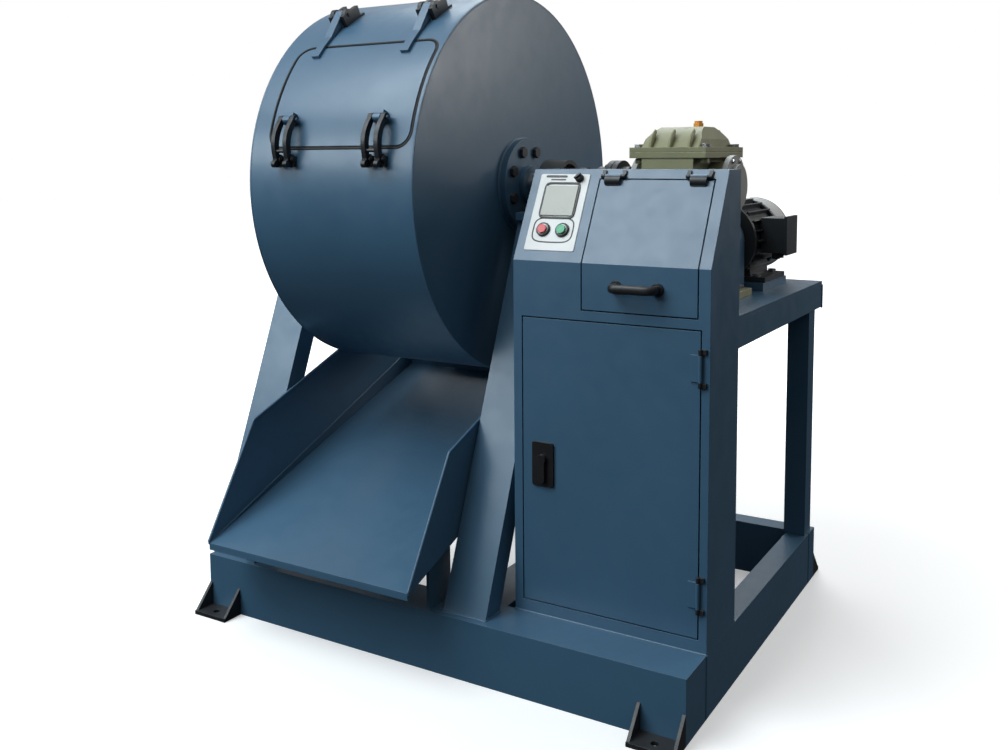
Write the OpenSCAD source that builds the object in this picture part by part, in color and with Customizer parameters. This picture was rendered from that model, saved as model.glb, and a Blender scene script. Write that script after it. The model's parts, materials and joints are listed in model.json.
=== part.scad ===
// Motorised tumbling-drum tester: a one-metre steel drum on two trestles, turned by a
// worm reducer, with a discharge chute in front and a control console at the right.
// X runs along the drum's axle, the chute opens towards -Y and Z is up.

/* [Base frame] */
// Length of the base along the drum's axle
base_len = 1400; // [1390:1:1500]
// Depth of the base from front to back
base_dep = 1025; // [1015:1:1050]
// Height of the base beams
beam_h = 150; // [130:1:152]
// Width of the front beam, which is also the step in front of the console
front_beam_w = 120; // [110:1:122]
// Width of the rear, side and cross beams
beam_w = 60; // [50:1:70]
// Wall of the beams, legs and table tubes
tube_t = 5; // [4:0.5:8]
// How far the anchor feet stick out at the front and the back
foot_reach = 60; // [50:1:64]

/* [Drum] */
// Inner radius of the drum
drum_r = 500; // [498:1:500]
// Inner length of the drum
drum_inner_len = 500; // [490:1:500]
// Thickness of the drum's shell and end plates
plate_t = 8; // [6:1:8]
// Height of the drum's axle above the floor
axis_z = 1165; // [1155:1:1175]
// Distance of the drum's axle from the front of the base
axis_d = 505; // [500:1:510]
// Middle of the drum along the base, from the base's left end
drum_mid = 458; // [456:1:460]
// Radius of the stub shafts
shaft_r = 30; // [25:1:30]
// Radius of the hub flanges
hub_r = 125; // [110:1:130]

/* [Hatch] */
// Length of the hatch opening along the drum
hatch_len = 440; // [430:1:456]
// Chord of the hatch opening around the drum
hatch_chord = 294; // [280:1:296]
// Angle of the hatch's middle above the horizontal
hatch_mid = 28.5; // [28:0.5:29]
// Corner radius of the hatch
hatch_corner = 40; // [20:1:50]
// Gap around the hatch, mostly filled by its seal
hatch_gap = 4; // [3:0.5:4]

/* [Trestles] */
// Clear distance between the two trestles
trestle_gap = 650; // [646:1:650]
// Width of each leg along the axle
leg_w = 120; // [110:1:120]
// Depth of each leg, measured level
leg_dep = 65; // [60:1:70]

/* [Chute] */
// How far the chute's lip sticks out in front of the base
chute_reach = 115; // [100:1:120]
// Height of the chute's lip above the floor
chute_lip_z = 243; // [230:1:255]
// Slope of the chute's floor
chute_slope = 19.5; // [18:0.5:20]
// Thickness of the chute's sheet
chute_t = 4; // [3:0.5:5]

/* [Console] */
// Width of the console cabinet
cab_w = 486; // [480:1:486]
// Depth of the console cabinet
cab_dep = 186; // [180:1:190]
// Height of the front face's top edge above the floor
cab_front_z = 1001; // [985:1:1005]
// Height of the console's flat top above the floor
cab_top_z = 1210; // [1195:1:1215]
// Level distance from the front face to the foot of the flat top
slope_run = 108; // [100:1:112]
// Thickness of the cabinet's sheet
sheet_t = 3; // [2:0.5:3]

/* [Drive] */
// Height of the motor table's top above the floor
table_z = 877; // [873:1:881]
// Height of the worm's axis above the table
worm_h = 133; // [130:1:135]
// Middle of the reducer and motor from the base's left end
drive_mid = 1195; // [1190:1:1200]
// Radius of the motor's body over its fins
motor_r = 110; // [104:1:112]

/* [Hidden] */
$fn = 64;

paint = [0.25, 0.38, 0.49];
black = [0.08, 0.08, 0.09];
steel = [0.62, 0.63, 0.65];
olive = [0.47, 0.47, 0.33];
motor_grey = [0.15, 0.17, 0.19];
rubber = [0.05, 0.05, 0.05];

// Frame of reference: the origin is on the floor, in the middle of the overall box.
base_x0 = -base_len / 2;
base_y0 = chute_reach - (chute_reach + base_dep + foot_reach) / 2;
base_y1 = base_y0 + base_dep;
axis_y = base_y0 + axis_d;

// Drum
drum_out_r = drum_r + plate_t;
drum_x = base_x0 + drum_mid;
drum_half = drum_inner_len / 2 + plate_t;
hatch_x = drum_x + drum_half - plate_t - 7 - hatch_len / 2;
hatch_tilt = 5;
hub_t = 20;
hinge_phi = 58;
hinge_pin_r = drum_out_r + 25;
catch_dx = 142;
catch_x = hatch_x - 12;
clamp_phi = 19;
clamp_pin_r = drum_out_r + 16;
keeper_phi = 8;
keeper_bar_r = drum_out_r + 12;
pin_r = 5;
running = 0.08;
arm_mid = 19;
arm_w = 12;
slot_clear = 1;

// Trestles
trestle_x = drum_x - 13;
left_leg_x = trestle_x - trestle_gap / 2 - leg_w;
right_leg_x = trestle_x + trestle_gap / 2;
bearing_h = 70;
bearing_w = 70;
bearing_plate_t = 20;
leg_top_z = axis_z - bearing_h - bearing_plate_t;
leg_foot_d = axis_d - 20;
leg_top_d = 114;

// Console
cab_x1 = base_x0 + base_len;
cab_x0 = cab_x1 - cab_w;
cab_y0 = base_y0 + front_beam_w;
cab_y1 = cab_y0 + cab_dep;
slope_rise = cab_top_z - cab_front_z;
slope_len = sqrt(slope_run * slope_run + slope_rise * slope_rise);
slope_ang = atan2(slope_rise, slope_run);
door_x0 = cab_x0 + 25;
door_x1 = cab_x1 - 22;
door_z0 = beam_h + 33;
door_z1 = cab_front_z - 134;
door_t = 18;
door_gap = 3;
lid_x0 = cab_x0 + 180;
lid_x1 = cab_x1 - 30;
lid_drop = 106;
lid_top_s = slope_len - 26;
lid_t = 2.5;
panel_mid_x = cab_x0 + 87;
button_s = 77;

// Drive
drive_x = base_x0 + drive_mid;
worm_z = table_z + worm_h;
gear_dist = axis_z - worm_z;
table_x0 = drive_x - 165;
table_x1 = base_x0 + base_len;
table_y0 = cab_y1;
table_y1 = axis_y + 545;
apron_h = 75;
table_t = 8;
gear_half = 66;
coupling_y = axis_y + 194;
motor_y0 = axis_y + 224;
motor_y1 = axis_y + 555;

// A flat shape in the Y-Z plane, drawn out along X from x0.
module along_x(x0, len) {
    translate([x0, 0, 0]) rotate([90, 0, 90]) linear_extrude(len) children();
}

// A flat shape in the X-Z plane, drawn out along Y from y0.
module along_y(y0, len) {
    translate([0, y0 + len, 0]) rotate([90, 0, 0]) linear_extrude(len) children();
}

// A box from its lowest to its highest corner.
module span(low, high) {
    translate(low) cube(high - low);
}

// A round bar along X, centred on y and z.
module bar_x(x0, len, r, y = axis_y, z = axis_z) {
    translate([x0, y, z]) rotate([0, 90, 0]) cylinder(h = len, r = r);
}

// A round bar along Y, centred on x and z.
module bar_y(y0, len, r, x = drive_x, z = worm_z) {
    translate([x, y0, z]) rotate([-90, 0, 0]) cylinder(h = len, r = r);
}

// A ring along X.
module ring_x(x0, len, r_out, r_in) {
    difference() {
        bar_x(x0, len, r_out);
        bar_x(x0 - 1, len + 2, r_in);
    }
}

// A rounded rectangle around the origin.
module rounded(w, h, r) {
    square([w - 2 * r, h], center = true);
    square([w, h - 2 * r], center = true);
    for (sx = [-1, 1], sy = [-1, 1])
        translate([sx * (w / 2 - r), sy * (h / 2 - r)]) circle(r);
}

// Children stand on the drum at an angle above the horizontal, with Z pointing outwards.
module at_drum(phi, r) {
    translate([0, axis_y - r * cos(phi), axis_z + r * sin(phi)])
        rotate([90 - phi, 0, 0]) children();
}

// The point at an angle and radius in the drum's Y-Z plane, from the axle.
function polar(phi, r) = [-r * cos(phi), r * sin(phi)];

// A curved band that follows the drum between two angles, in the Y-Z plane.
module drum_band(r_in, r_out, phi0, phi1) {
    translate([axis_y, axis_z]) intersection() {
        difference() {
            circle(r_out, $fn = 128);
            circle(r_in, $fn = 128);
        }
        polygon([[0, 0], polar(phi0, 2 * r_out), polar(phi1, 2 * r_out)]);
    }
}

// A disc in the drum's Y-Z plane.
module drum_disc(phi, r, size) {
    translate([axis_y, axis_z]) translate(polar(phi, r)) circle(size);
}

// The hatch's outline, driven through the shell; inset shrinks it on every side.
module hatch_prism(inset) {
    translate([hatch_x, 0, 0]) at_drum(hatch_mid, drum_out_r)
        rotate([-hatch_tilt, 0, 0]) translate([0, 0, -60]) linear_extrude(120)
            rounded(hatch_len - 2 * inset, hatch_chord - 2 * inset, hatch_corner - inset);
}

// A hexagon bolt standing on the origin, head up, with its shank below.
module bolt(d, shank) {
    cylinder(h = 0.65 * d, r = 0.95 * d, $fn = 6);
    translate([0, 0, -shank]) cylinder(h = shank + 1, r = d / 2, $fn = 24);
}

// A beam along X with plugged ends.
module beam_x(x0, x1, y0, w, h = beam_h) {
    difference() {
        span([x0, y0, 0], [x1, y0 + w, h]);
        span([x0 + tube_t, y0 + tube_t, tube_t], [x1 - tube_t, y0 + w - tube_t, h - tube_t]);
    }
}

// A beam along Y with plugged ends.
module beam_y(y0, y1, x0, w) {
    difference() {
        span([x0, y0, 0], [x0 + w, y1, beam_h]);
        span([x0 + tube_t, y0 + tube_t, tube_t],
            [x0 + w - tube_t, y1 - tube_t, beam_h - tube_t]);
    }
}

module front_beam() {
    color(paint) beam_x(base_x0, base_x0 + base_len, base_y0, front_beam_w);
}

module rear_beam() {
    color(paint) beam_x(base_x0, base_x0 + base_len, base_y1 - beam_w, beam_w);
}

// The beams that run from front to back, and the sill under the console's back edge.
module cross_beams() {
    y0 = base_y0 + front_beam_w;
    y1 = base_y1 - beam_w;
    color(paint) {
        beam_y(y0, y1, base_x0, beam_w);
        beam_y(y0, y1, base_x0 + base_len - beam_w, beam_w);
        beam_y(y0, y1, base_x0 + beam_w, beam_w);
        beam_y(y0, y1, right_leg_x, beam_w);
        beam_y(y0, y1, right_leg_x + beam_w, beam_w);
        beam_x(right_leg_x + 2 * beam_w, cab_x1 - beam_w, cab_y1 - beam_w, beam_w);
    }
}

foot_w = 112;
foot_t = 10;
foot_hole_r = 9;
foot_hole_out = 34;

// One anchor foot: a floor plate with a bolt hole and two gussets against the beam.
module anchor_foot(x, y, side) {
    translate([x, y, 0]) scale([1, side, 1]) {
        difference() {
            span([-foot_w / 2, 0, 0], [foot_w / 2, foot_reach, foot_t]);
            translate([0, foot_hole_out, -1]) cylinder(h = foot_t + 2, r = foot_hole_r);
        }
        for (gx = [-foot_w / 2, foot_w / 2 - 8])
            along_x(gx, 8) polygon([[0, foot_t], [foot_reach - 4, foot_t], [0, foot_t + 62]]);
    }
}

module anchor_feet() {
    inset = foot_w / 2;
    color(black) for (x = [base_x0 + inset, base_x0 + base_len - inset]) {
        mirror([0, 1, 0]) anchor_foot(x, -base_y0, 1);
        anchor_foot(x, base_y1, 1);
    }
}

// One leg of a trestle, leaning in towards the axle; side is -1 in front, 1 behind.
module leg(x0, side) {
    foot = [side * leg_foot_d, beam_h];
    top = [side * leg_top_d, leg_top_z];
    back = [-side * leg_dep, 0];
    lean = (top - foot) / (leg_top_z - beam_h);
    wall = [-side * tube_t * 1.1, 0];
    translate([0, axis_y, 0]) difference() {
        along_x(x0, leg_w) polygon([foot, foot + back, top + back, top]);
        along_x(x0 + tube_t, leg_w - 2 * tube_t)
            polygon([foot + wall - lean, foot + back - wall - lean,
                top + back - wall + lean, top + wall + lean]);
    }
}

module left_legs() {
    color(paint) for (side = [-1, 1]) leg(left_leg_x, side);
}

module right_legs() {
    color(paint) for (side = [-1, 1]) leg(right_leg_x, side);
}

bearing_bolt_d = 95;
bearing_foot = 241;

module bearing_plates() {
    color(paint) for (x0 = [left_leg_x, right_leg_x]) difference() {
        span([x0, axis_y - 130, leg_top_z], [x0 + leg_w, axis_y + 130, leg_top_z + bearing_plate_t]);
        for (side = [-1, 1]) translate([x0 + leg_w / 2, axis_y + side * bearing_bolt_d, 0])
            cylinder(h = axis_z, r = 8.5, $fn = 32);
    }
}

// A cast pillow block around the stub shaft.
module bearing_housing(x) {
    z0 = axis_z - bearing_h;
    difference() {
        union() {
            span([x - bearing_w / 2, axis_y - bearing_foot / 2, z0],
                [x + bearing_w / 2, axis_y + bearing_foot / 2, z0 + 20]);
            along_x(x - bearing_w / 2 + 5, bearing_w - 10)
                translate([axis_y, z0]) polygon([[-80, 20], [80, 20], [60, 75], [-60, 75]]);
            bar_x(x - bearing_w / 2 + 2, bearing_w - 4, 66);
        }
        bar_x(x - bearing_w, 2 * bearing_w, 55);
        for (side = [-1, 1]) translate([x, axis_y + side * bearing_bolt_d, z0 - 1])
            cylinder(h = 40, r = 8.5, $fn = 32);
    }
}

module bearing_housings() {
    color(black) for (x0 = [left_leg_x, right_leg_x]) bearing_housing(x0 + leg_w / 2);
}

// The rolling bearings on the stub shafts and in the reducer.
module bearing_rings() {
    color(steel) {
        for (x0 = [left_leg_x, right_leg_x]) translate([x0 + leg_w / 2 - 16, 0, 0]) {
            ring_x(0, 32, 55, 48);
            for (a = [0:40:320]) translate([16, axis_y, axis_z]) rotate([a, 0, 0])
                translate([0, 0, 42.2]) sphere(5.5, $fn = 24);
        }
        for (side = [-1, 1]) translate([drive_x + side * 100 - 12, 0, 0])
            ring_x(0, 24, 50, shaft_r + 2);
        for (side = [-1, 1]) difference() {
            bar_y(axis_y + side * 118 - 11, 22, 40);
            bar_y(axis_y + side * 118 - 20, 40, 22);
        }
    }
}

rail_h = 21;
motor_foot_x = 95;
motor_foot_d = [278, 418];
gear_foot = [92, 138];

// Bolts of the bearings, the reducer, the motor and the cover of the reducer.
module frame_bolts() {
    color(steel) {
        for (x0 = [left_leg_x, right_leg_x], side = [-1, 1])
            translate([x0 + leg_w / 2, axis_y + side * bearing_bolt_d, axis_z - bearing_h + 20])
                bolt(16, 60);
        for (sx = [-1, 1], sy = [-1, 1])
            translate([drive_x + sx * gear_foot[0], axis_y + sy * gear_foot[1], table_z + 18])
                bolt(14, 25);
        for (sx = [-1, 1], d = motor_foot_d)
            translate([drive_x + sx * motor_foot_x, axis_y + d, table_z + rail_h + 14])
                bolt(12, 24);
        for (sx = [-1, 1], sy = [-1, 1])
            translate([drive_x + sx * 86, axis_y + sy * 105, split_z + 12]) bolt(12, 28);
    }
}

// The chute's floor line, as a function of the distance behind its lip.
function chute_z(d) = chute_lip_z + d * tan(chute_slope);
chute_x0 = trestle_x - trestle_gap / 2 + 2;
chute_x1 = trestle_x + trestle_gap / 2 - 2;
chute_y0 = base_y0 - chute_reach;
chute_len = 900;
chute_back_h = 52;

module chute_floor() {
    color(paint) {
        along_x(chute_x0 + chute_t, chute_x1 - chute_x0 - 2 * chute_t)
            translate([chute_y0, 0]) polygon([[0, chute_z(0)], [chute_len, chute_z(chute_len)],
                [chute_len, chute_z(chute_len) - chute_t], [0, chute_z(0) - chute_t]]);
        span([chute_x0 + chute_t, chute_y0, chute_z(0) - 18],
            [chute_x1 - chute_t, chute_y0 + chute_t, chute_z(0) - chute_t]);
        span([chute_x0 + chute_t, chute_y0 + chute_len - chute_t, chute_z(chute_len) - chute_t],
            [chute_x1 - chute_t, chute_y0 + chute_len, chute_z(chute_len) + chute_back_h]);
    }
}

wall_rise_d = 175;
wall_front_h = 226;
wall_back_h = 240;

// The chute's side walls: nothing at the lip, full height after the slanted front edge.
module chute_walls() {
    low = chute_t;
    color(paint) for (x0 = [chute_x0, chute_x1 - chute_t])
        along_x(x0, chute_t) translate([chute_y0, 0])
            polygon([[0, chute_z(0) - low], [0, chute_z(0) + 2],
                [wall_rise_d, chute_z(wall_rise_d) + wall_front_h],
                [chute_len, chute_z(chute_len) + wall_back_h],
                [chute_len, chute_z(chute_len) - low]]);
}

// Brackets that hold the chute up on the front beam and between the legs, front and rear.
module chute_brackets() {
    lean = tan(chute_slope);
    color(paint) {
        for (x0 = [chute_x0 + 30, chute_x1 - 38])
            along_x(x0, 8) translate([base_y0, 0])
                polygon([[8, beam_h], [100, beam_h],
                    [100, chute_z(chute_reach + 100) - chute_t],
                    [8, chute_z(chute_reach + 8) - chute_t]]);
        for (x0 = [chute_x0 - 2, chute_x1 - 38], d = [chute_reach + 100, 858]) {
            z = chute_z(d) - chute_t;
            along_x(x0, 40) translate([chute_y0 + d, z])
                polygon([[0, 0], [40, 40 * lean], [40, 40 * lean - 40], [34, 40 * lean - 40],
                    [34, 28 * lean], [0, -6]]);
        }
    }
}

// The console's side outline in the Y-Z plane, shrunk by a wall.
module cab_outline(t) {
    nose = t * tan(slope_ang / 2 - 45);
    polygon([[cab_y0 + t, beam_h + t], [cab_y1 - t, beam_h + t], [cab_y1 - t, cab_top_z - t],
        [cab_y0 + slope_run + t * tan(slope_ang / 2), cab_top_z - t],
        [cab_y0 + t, cab_front_z + nose]]);
}

// Children lie on the console's slope: X along it, Y up the slope, Z outwards.
module on_slope() {
    translate([0, cab_y0, cab_front_z]) rotate([slope_ang, 0, 0]) children();
}

// The corner of the front face and the slope, moved inwards by a depth.
function cab_corner(t) = [cab_y0 + t, cab_front_z + t * tan(slope_ang / 2 - 45)];

// A point up the slope, moved inwards by a depth.
function slope_point(s, t) = [cab_y0 + s * cos(slope_ang) + t * sin(slope_ang),
    cab_front_z + s * sin(slope_ang) - t * cos(slope_ang)];

// A bent band that follows the front face and the slope, between two depths.
module bent_band(z_low, s_top, t0, t1) {
    polygon([[cab_y0 + t0, z_low], cab_corner(t0), slope_point(s_top, t0),
        slope_point(s_top, t1), cab_corner(t1), [cab_y0 + t1, z_low]]);
}

// The sheet-metal cabinet, open at the door, at the lid and behind the control plate.
module cabinet_shell() {
    color(paint) difference() {
        along_x(cab_x0, cab_w) cab_outline(0);
        along_x(cab_x0 + sheet_t, cab_w - 2 * sheet_t) cab_outline(sheet_t);
        span([door_x0 - door_gap, cab_y0 - 1, door_z0 - door_gap],
            [door_x1 + door_gap, cab_y0 + sheet_t + 1, door_z1 + door_gap]);
        along_x(lid_x0 - door_gap, lid_x1 - lid_x0 + 2 * door_gap)
            bent_band(cab_front_z - lid_drop - door_gap, lid_top_s + door_gap, -2, sheet_t + 2);
        on_slope() span([panel_mid_x - 50, 40, -12], [panel_mid_x + 50, 200, 1]);
        along_y(cab_y1 - sheet_t - 1, sheet_t + 2)
            translate([cab_x0 + 90, beam_h + 80]) circle(22);
    }
}

// The mounting panel with its contactor, overload relay, timer and terminal strip.
module switchgear() {
    panel_y = cab_y1 - 30;
    mid = (cab_x0 + cab_x1) / 2;
    color([0.8, 0.8, 0.78]) {
        span([mid - 170, panel_y, 300], [mid + 170, panel_y + 3, 760]);
        for (sx = [-1, 1], z = [330, 730])
            bar_y(panel_y + 3, cab_y1 - sheet_t - panel_y - 3, 6, mid + sx * 150, z);
    }
    color(black) {
        span([mid - 120, panel_y - 84, 560], [mid - 40, panel_y, 650]);
        span([mid - 112, panel_y - 70, 480], [mid - 48, panel_y, 558]);
        span([mid + 10, panel_y - 72, 570], [mid + 58, panel_y, 650]);
    }
    color(steel) {
        span([mid - 140, panel_y - 8, 660], [mid + 140, panel_y, 695]);
        for (i = [0:9]) span([mid - 120 + i * 24, panel_y - 40, 380],
            [mid - 100 + i * 24, panel_y, 430]);
    }
}

module control_plate() {
    color([0.86, 0.86, 0.85]) on_slope() translate([panel_mid_x, 124, 0]) difference() {
        union() {
            linear_extrude(1.5) rounded(130, 196, 4);
            for (sx = [-1, 1]) translate([sx * 25, button_s - 124, 0]) cylinder(h = 7, r = 14.5);
        }
        translate([-38, -6, -1]) cube([76, 68, 4]);
        for (sx = [-1, 1]) translate([sx * 25, button_s - 124, -1]) cylinder(h = 9, r = 11.3);
    }
}

// The revolution counter: a bezel and window on the plate, with its case behind.
module counter_display() {
    color([0.7, 0.72, 0.68]) on_slope() translate([panel_mid_x, 152, 0]) {
        translate([-37.5, -33.5, -60]) cube([75, 67, 64]);
        translate([-42, -38, 1.5]) cube([84, 76, 3]);
    }
}

door_axis_x = door_x1 + 1.5;
door_axis_y = cab_y0 - 5;
lid_axis_s = lid_top_s + 6;
lid_axis_h = 6;

// Fixed leaves, knuckles and pins of the door's and the lid's hinges.
module cabinet_hinges() {
    color(black) {
        for (z = [door_z0 + 70, door_z1 - 110]) {
            translate([door_axis_x, door_axis_y, z]) cylinder(h = 60, r = 3.2, $fn = 32);
            translate([door_axis_x, door_axis_y, z - 12]) cylinder(h = 11.5, r = 4.6, $fn = 32);
            translate([door_axis_x, door_axis_y, z + 60]) cylinder(h = 12, r = 4.6, $fn = 32);
            span([door_axis_x + 1, door_axis_y, z - 12], [door_axis_x + 14, cab_y0, z - 1]);
            span([door_axis_x + 1, door_axis_y, z + 61], [door_axis_x + 14, cab_y0, z + 72]);
        }
        for (x = [lid_x0 + 14, lid_x1 - 54]) on_slope() {
            translate([x - 10, lid_axis_s, lid_axis_h]) rotate([0, 90, 0])
                cylinder(h = 60, r = 2.5, $fn = 32);
            for (dx = [-10, 41]) {
                translate([x + dx, lid_axis_s, lid_axis_h]) rotate([0, 90, 0])
                    cylinder(h = 9, r = 5, $fn = 32);
                span([x + dx, lid_axis_s, 0], [x + dx + 9, lid_axis_s + 16, lid_axis_h - 1]);
            }
        }
    }
}

module table_top() {
    color(paint) difference() {
        span([table_x0, table_y0, table_z - table_t], [table_x1, table_y1, table_z]);
        for (sx = [-1, 1], sy = [-1, 1])
            translate([drive_x + sx * gear_foot[0], axis_y + sy * gear_foot[1], table_z - 20])
                cylinder(h = 40, r = 7.5, $fn = 32);
        for (sx = [-1, 1], d = motor_foot_d)
            translate([drive_x + sx * motor_foot_x, axis_y + d, table_z - 20])
                cylinder(h = 40, r = 6.5, $fn = 32);
    }
}

// The apron round the table top and the two legs at the back.
module table_frame() {
    z1 = table_z - table_t;
    z0 = table_z - apron_h;
    leg_y = base_y1 - 85;
    t = 6;
    color(paint) {
        span([table_x0, table_y0, z0], [table_x0 + t, table_y1, z1]);
        span([table_x1 - t, table_y0, z0], [table_x1, table_y1, z1]);
        span([table_x0 + t, table_y0, z0], [table_x1 - t, table_y0 + t, z1]);
        span([table_x0 + t, table_y1 - t, z0], [table_x1 - t, table_y1, z1]);
        for (x0 = [table_x0 + t, table_x1 - t - beam_w]) difference() {
            span([x0, leg_y, beam_h], [x0 + beam_w, leg_y + beam_w, z1]);
            span([x0 + tube_t, leg_y + tube_t, beam_h - 1],
                [x0 + beam_w - tube_t, leg_y + beam_w - tube_t, z1 + 1]);
        }
        for (d = [120, 330, 560])
            span([table_x0 + t, table_y0 + d, z0 + 25], [table_x1 - t, table_y0 + d + 50, z1]);
    }
}

module motor_rails() {
    color(paint) for (sx = [-1, 1]) difference() {
        span([drive_x + sx * motor_foot_x - 30, axis_y + 240, table_z],
            [drive_x + sx * motor_foot_x + 30, axis_y + 456, table_z + rail_h]);
        for (d = motor_foot_d) translate([drive_x + sx * motor_foot_x, axis_y + d, table_z - 1])
            cylinder(h = 40, r = 6.5, $fn = 32);
    }
}

split_z = axis_z + 84;
chamber_r = 148;

// The reducer's lower casting: foot, tapered body, worm tunnel and wheel chamber.
module gearbox_housing() {
    color(olive) difference() {
        union() {
            span([drive_x - 118, axis_y - 165, table_z], [drive_x + 118, axis_y + 165, table_z + 18]);
            along_x(drive_x - gear_half, 2 * gear_half) translate([axis_y, table_z])
                polygon([[-140, 10], [140, 10], [140, 190], [132, split_z - table_z - 1],
                    [-132, split_z - table_z - 1], [-140, 190]]);
            bar_y(axis_y - 150, 300, 62);
            span([drive_x - 98, axis_y - 135, split_z - 14], [drive_x + 98, axis_y + 135, split_z]);
            for (sx = [-1, 1]) along_y(axis_y - 8, 16) translate([drive_x, 0])
                polygon([[sx * 60, table_z + 10], [sx * 112, table_z + 10], [sx * 75, axis_z],
                    [sx * 60, axis_z]]);
            bar_x(drive_x - 112, 224, 60);
        }
        intersection() {
            bar_x(drive_x - 50, 100, 134);
            span([drive_x - 50, axis_y - 134, table_z + 20], [drive_x + 50, axis_y + 134, split_z + 1]);
        }
        bar_y(axis_y - 170, 340, 40.5);
        bar_x(drive_x - 130, 260, 50.5);
        for (sx = [-1, 1], sy = [-1, 1])
            translate([drive_x + sx * gear_foot[0], axis_y + sy * gear_foot[1], table_z - 1])
                cylinder(h = 30, r = 7.5, $fn = 32);
        for (sx = [-1, 1], sy = [-1, 1])
            translate([drive_x + sx * 86, axis_y + sy * 105, split_z - 20])
                cylinder(h = 30, r = 6.5, $fn = 32);
    }
}

// The reducer's domed top casting with its bolting rim and a flat pad on top.
module gearbox_cover() {
    top = axis_z + 146;
    color(olive) difference() {
        union() {
            span([drive_x - 98, axis_y - 135, split_z], [drive_x + 98, axis_y + 135, split_z + 12]);
            intersection() {
                bar_x(drive_x - 80, 160, 150);
                along_y(axis_y - 150, 300) translate([drive_x, 0])
                    polygon([[-74, split_z], [74, split_z], [73, top - 30], [56, top],
                        [-56, top], [-73, top - 30]]);
            }
        }
        intersection() {
            bar_x(drive_x - 50, 100, 134);
            span([drive_x - 50, axis_y - 140, split_z - 1], [drive_x + 50, axis_y + 140, top]);
        }
        for (sx = [-1, 1], sy = [-1, 1])
            translate([drive_x + sx * 86, axis_y + sy * 105, split_z - 1])
                cylinder(h = 30, r = 6.5, $fn = 32);
        translate([drive_x + 28, axis_y, top - 40]) cylinder(h = 60, r = 8, $fn = 32);
    }
}

// Bearing covers: two on the output shaft and two on the worm.
module gearbox_side_covers() {
    color([0.55, 0.56, 0.55]) {
        for (sx = [-1, 1]) {
            x0 = drive_x + (sx > 0 ? 112 : -126);
            difference() {
                union() {
                    bar_x(x0, 14, 76);
                    bar_x(sx > 0 ? x0 + 14 : x0 - 12, 12, 54);
                }
                if (sx < 0) bar_x(x0 - 30, 60, shaft_r + 1.5);
                if (sx > 0) bar_x(x0 - 1, 12, 50);
            }
        }
        difference() {
            bar_y(axis_y + 150, 12, 56);
            bar_y(axis_y + 149, 20, 20);
        }
        bar_y(axis_y - 162, 12, 56);
    }
}

module gearbox_breather() {
    color([0.93, 0.62, 0.25]) translate([drive_x + 28, axis_y, axis_z + 146]) {
        translate([0, 0, -12]) cylinder(h = 12, r = 7.5, $fn = 32);
        cylinder(h = 9, r = 13, $fn = 6);
        translate([0, 0, 9]) cylinder(h = 6, r = 10, $fn = 32);
    }
}

body_y0 = motor_y0 + 26;
body_y1 = motor_y0 + 222;

// Where the terminal box sits against the motor, from the motor's axis.
box_back = motor_r - 13;

// The motor's ribbed frame with its two feet.
module motor_frame() {
    mid_y = (body_y0 + body_y1) / 2;
    color(motor_grey) difference() {
        union() {
            bar_y(body_y0, body_y1 - body_y0, motor_r - 16);
            for (a = [0:15:345]) if (abs(a - 270) > 40)
                translate([drive_x, 0, worm_z]) rotate([0, -a, 0])
                    span([motor_r - 20, body_y0, -2], [motor_r, body_y1, 2]);
            for (sx = [-1, 1]) span([drive_x + sx * 90 - 34, body_y0 + 8, table_z + rail_h],
                [drive_x + sx * 90 + 34, body_y1 - 4, table_z + rail_h + 14]);
            for (sx = [-1, 1]) along_y(body_y0 + 20, body_y1 - body_y0 - 40)
                translate([drive_x, table_z + rail_h])
                    polygon([[sx * 50, 10], [sx * 80, 10], [sx * 76, 60], [sx * 50, 60]]);
        }
        bar_y(body_y0 - 1, body_y1 - body_y0 + 2, motor_r - 24);
        span([drive_x + box_back, mid_y - 46, worm_z - 36],
            [drive_x + motor_r + 1, mid_y + 46, worm_z + 61]);
        for (sx = [-1, 1], d = motor_foot_d)
            translate([drive_x + sx * motor_foot_x, axis_y + d, table_z])
                cylinder(h = 40, r = 6.5, $fn = 32);
    }
}

module motor_end_shields() {
    color(motor_grey) {
        difference() {
            union() {
                bar_y(motor_y0 + 10, 16, motor_r - 6);
                bar_y(motor_y0, 10, 50);
            }
            bar_y(motor_y0 - 1, 30, 20);
        }
        difference() {
            bar_y(body_y1, 14, motor_r - 6);
            bar_y(body_y1 - 1, 30, 20);
        }
    }
}

module motor_stator() {
    color([0.5, 0.32, 0.2]) difference() {
        bar_y(body_y0 + 20, 140, motor_r - 24.5);
        bar_y(body_y0 + 10, 170, 58);
    }
}

// The sheet cowl over the fan, with its round grille.
module motor_cowl() {
    y0 = body_y1 + 14;
    color([0.75, 0.76, 0.76]) difference() {
        bar_y(y0, motor_y1 - y0, motor_r - 6);
        bar_y(y0 - 1, motor_y1 - y0 - 2, motor_r - 8);
        for (a = [0:30:330], r = [45, 80])
            translate([drive_x + r * cos(a), motor_y1 - 10, worm_z + r * sin(a)])
                rotate([-90, 0, 0]) cylinder(h = 20, r = r > 60 ? 12 : 8, $fn = 24);
    }
}

module terminal_box() {
    mid_y = (body_y0 + body_y1) / 2;
    color(motor_grey) {
        span([drive_x + box_back, mid_y - 45, worm_z - 35],
            [drive_x + motor_r + 52, mid_y + 45, worm_z + 60]);
        span([drive_x + motor_r + 52, mid_y - 50, worm_z - 40],
            [drive_x + motor_r + 60, mid_y + 50, worm_z + 65]);
        for (dy = [-18, 18])
            translate([drive_x + motor_r + 22, mid_y + dy, worm_z - 53]) cylinder(h = 19, r = 11, $fn = 6);
    }
}

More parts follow.
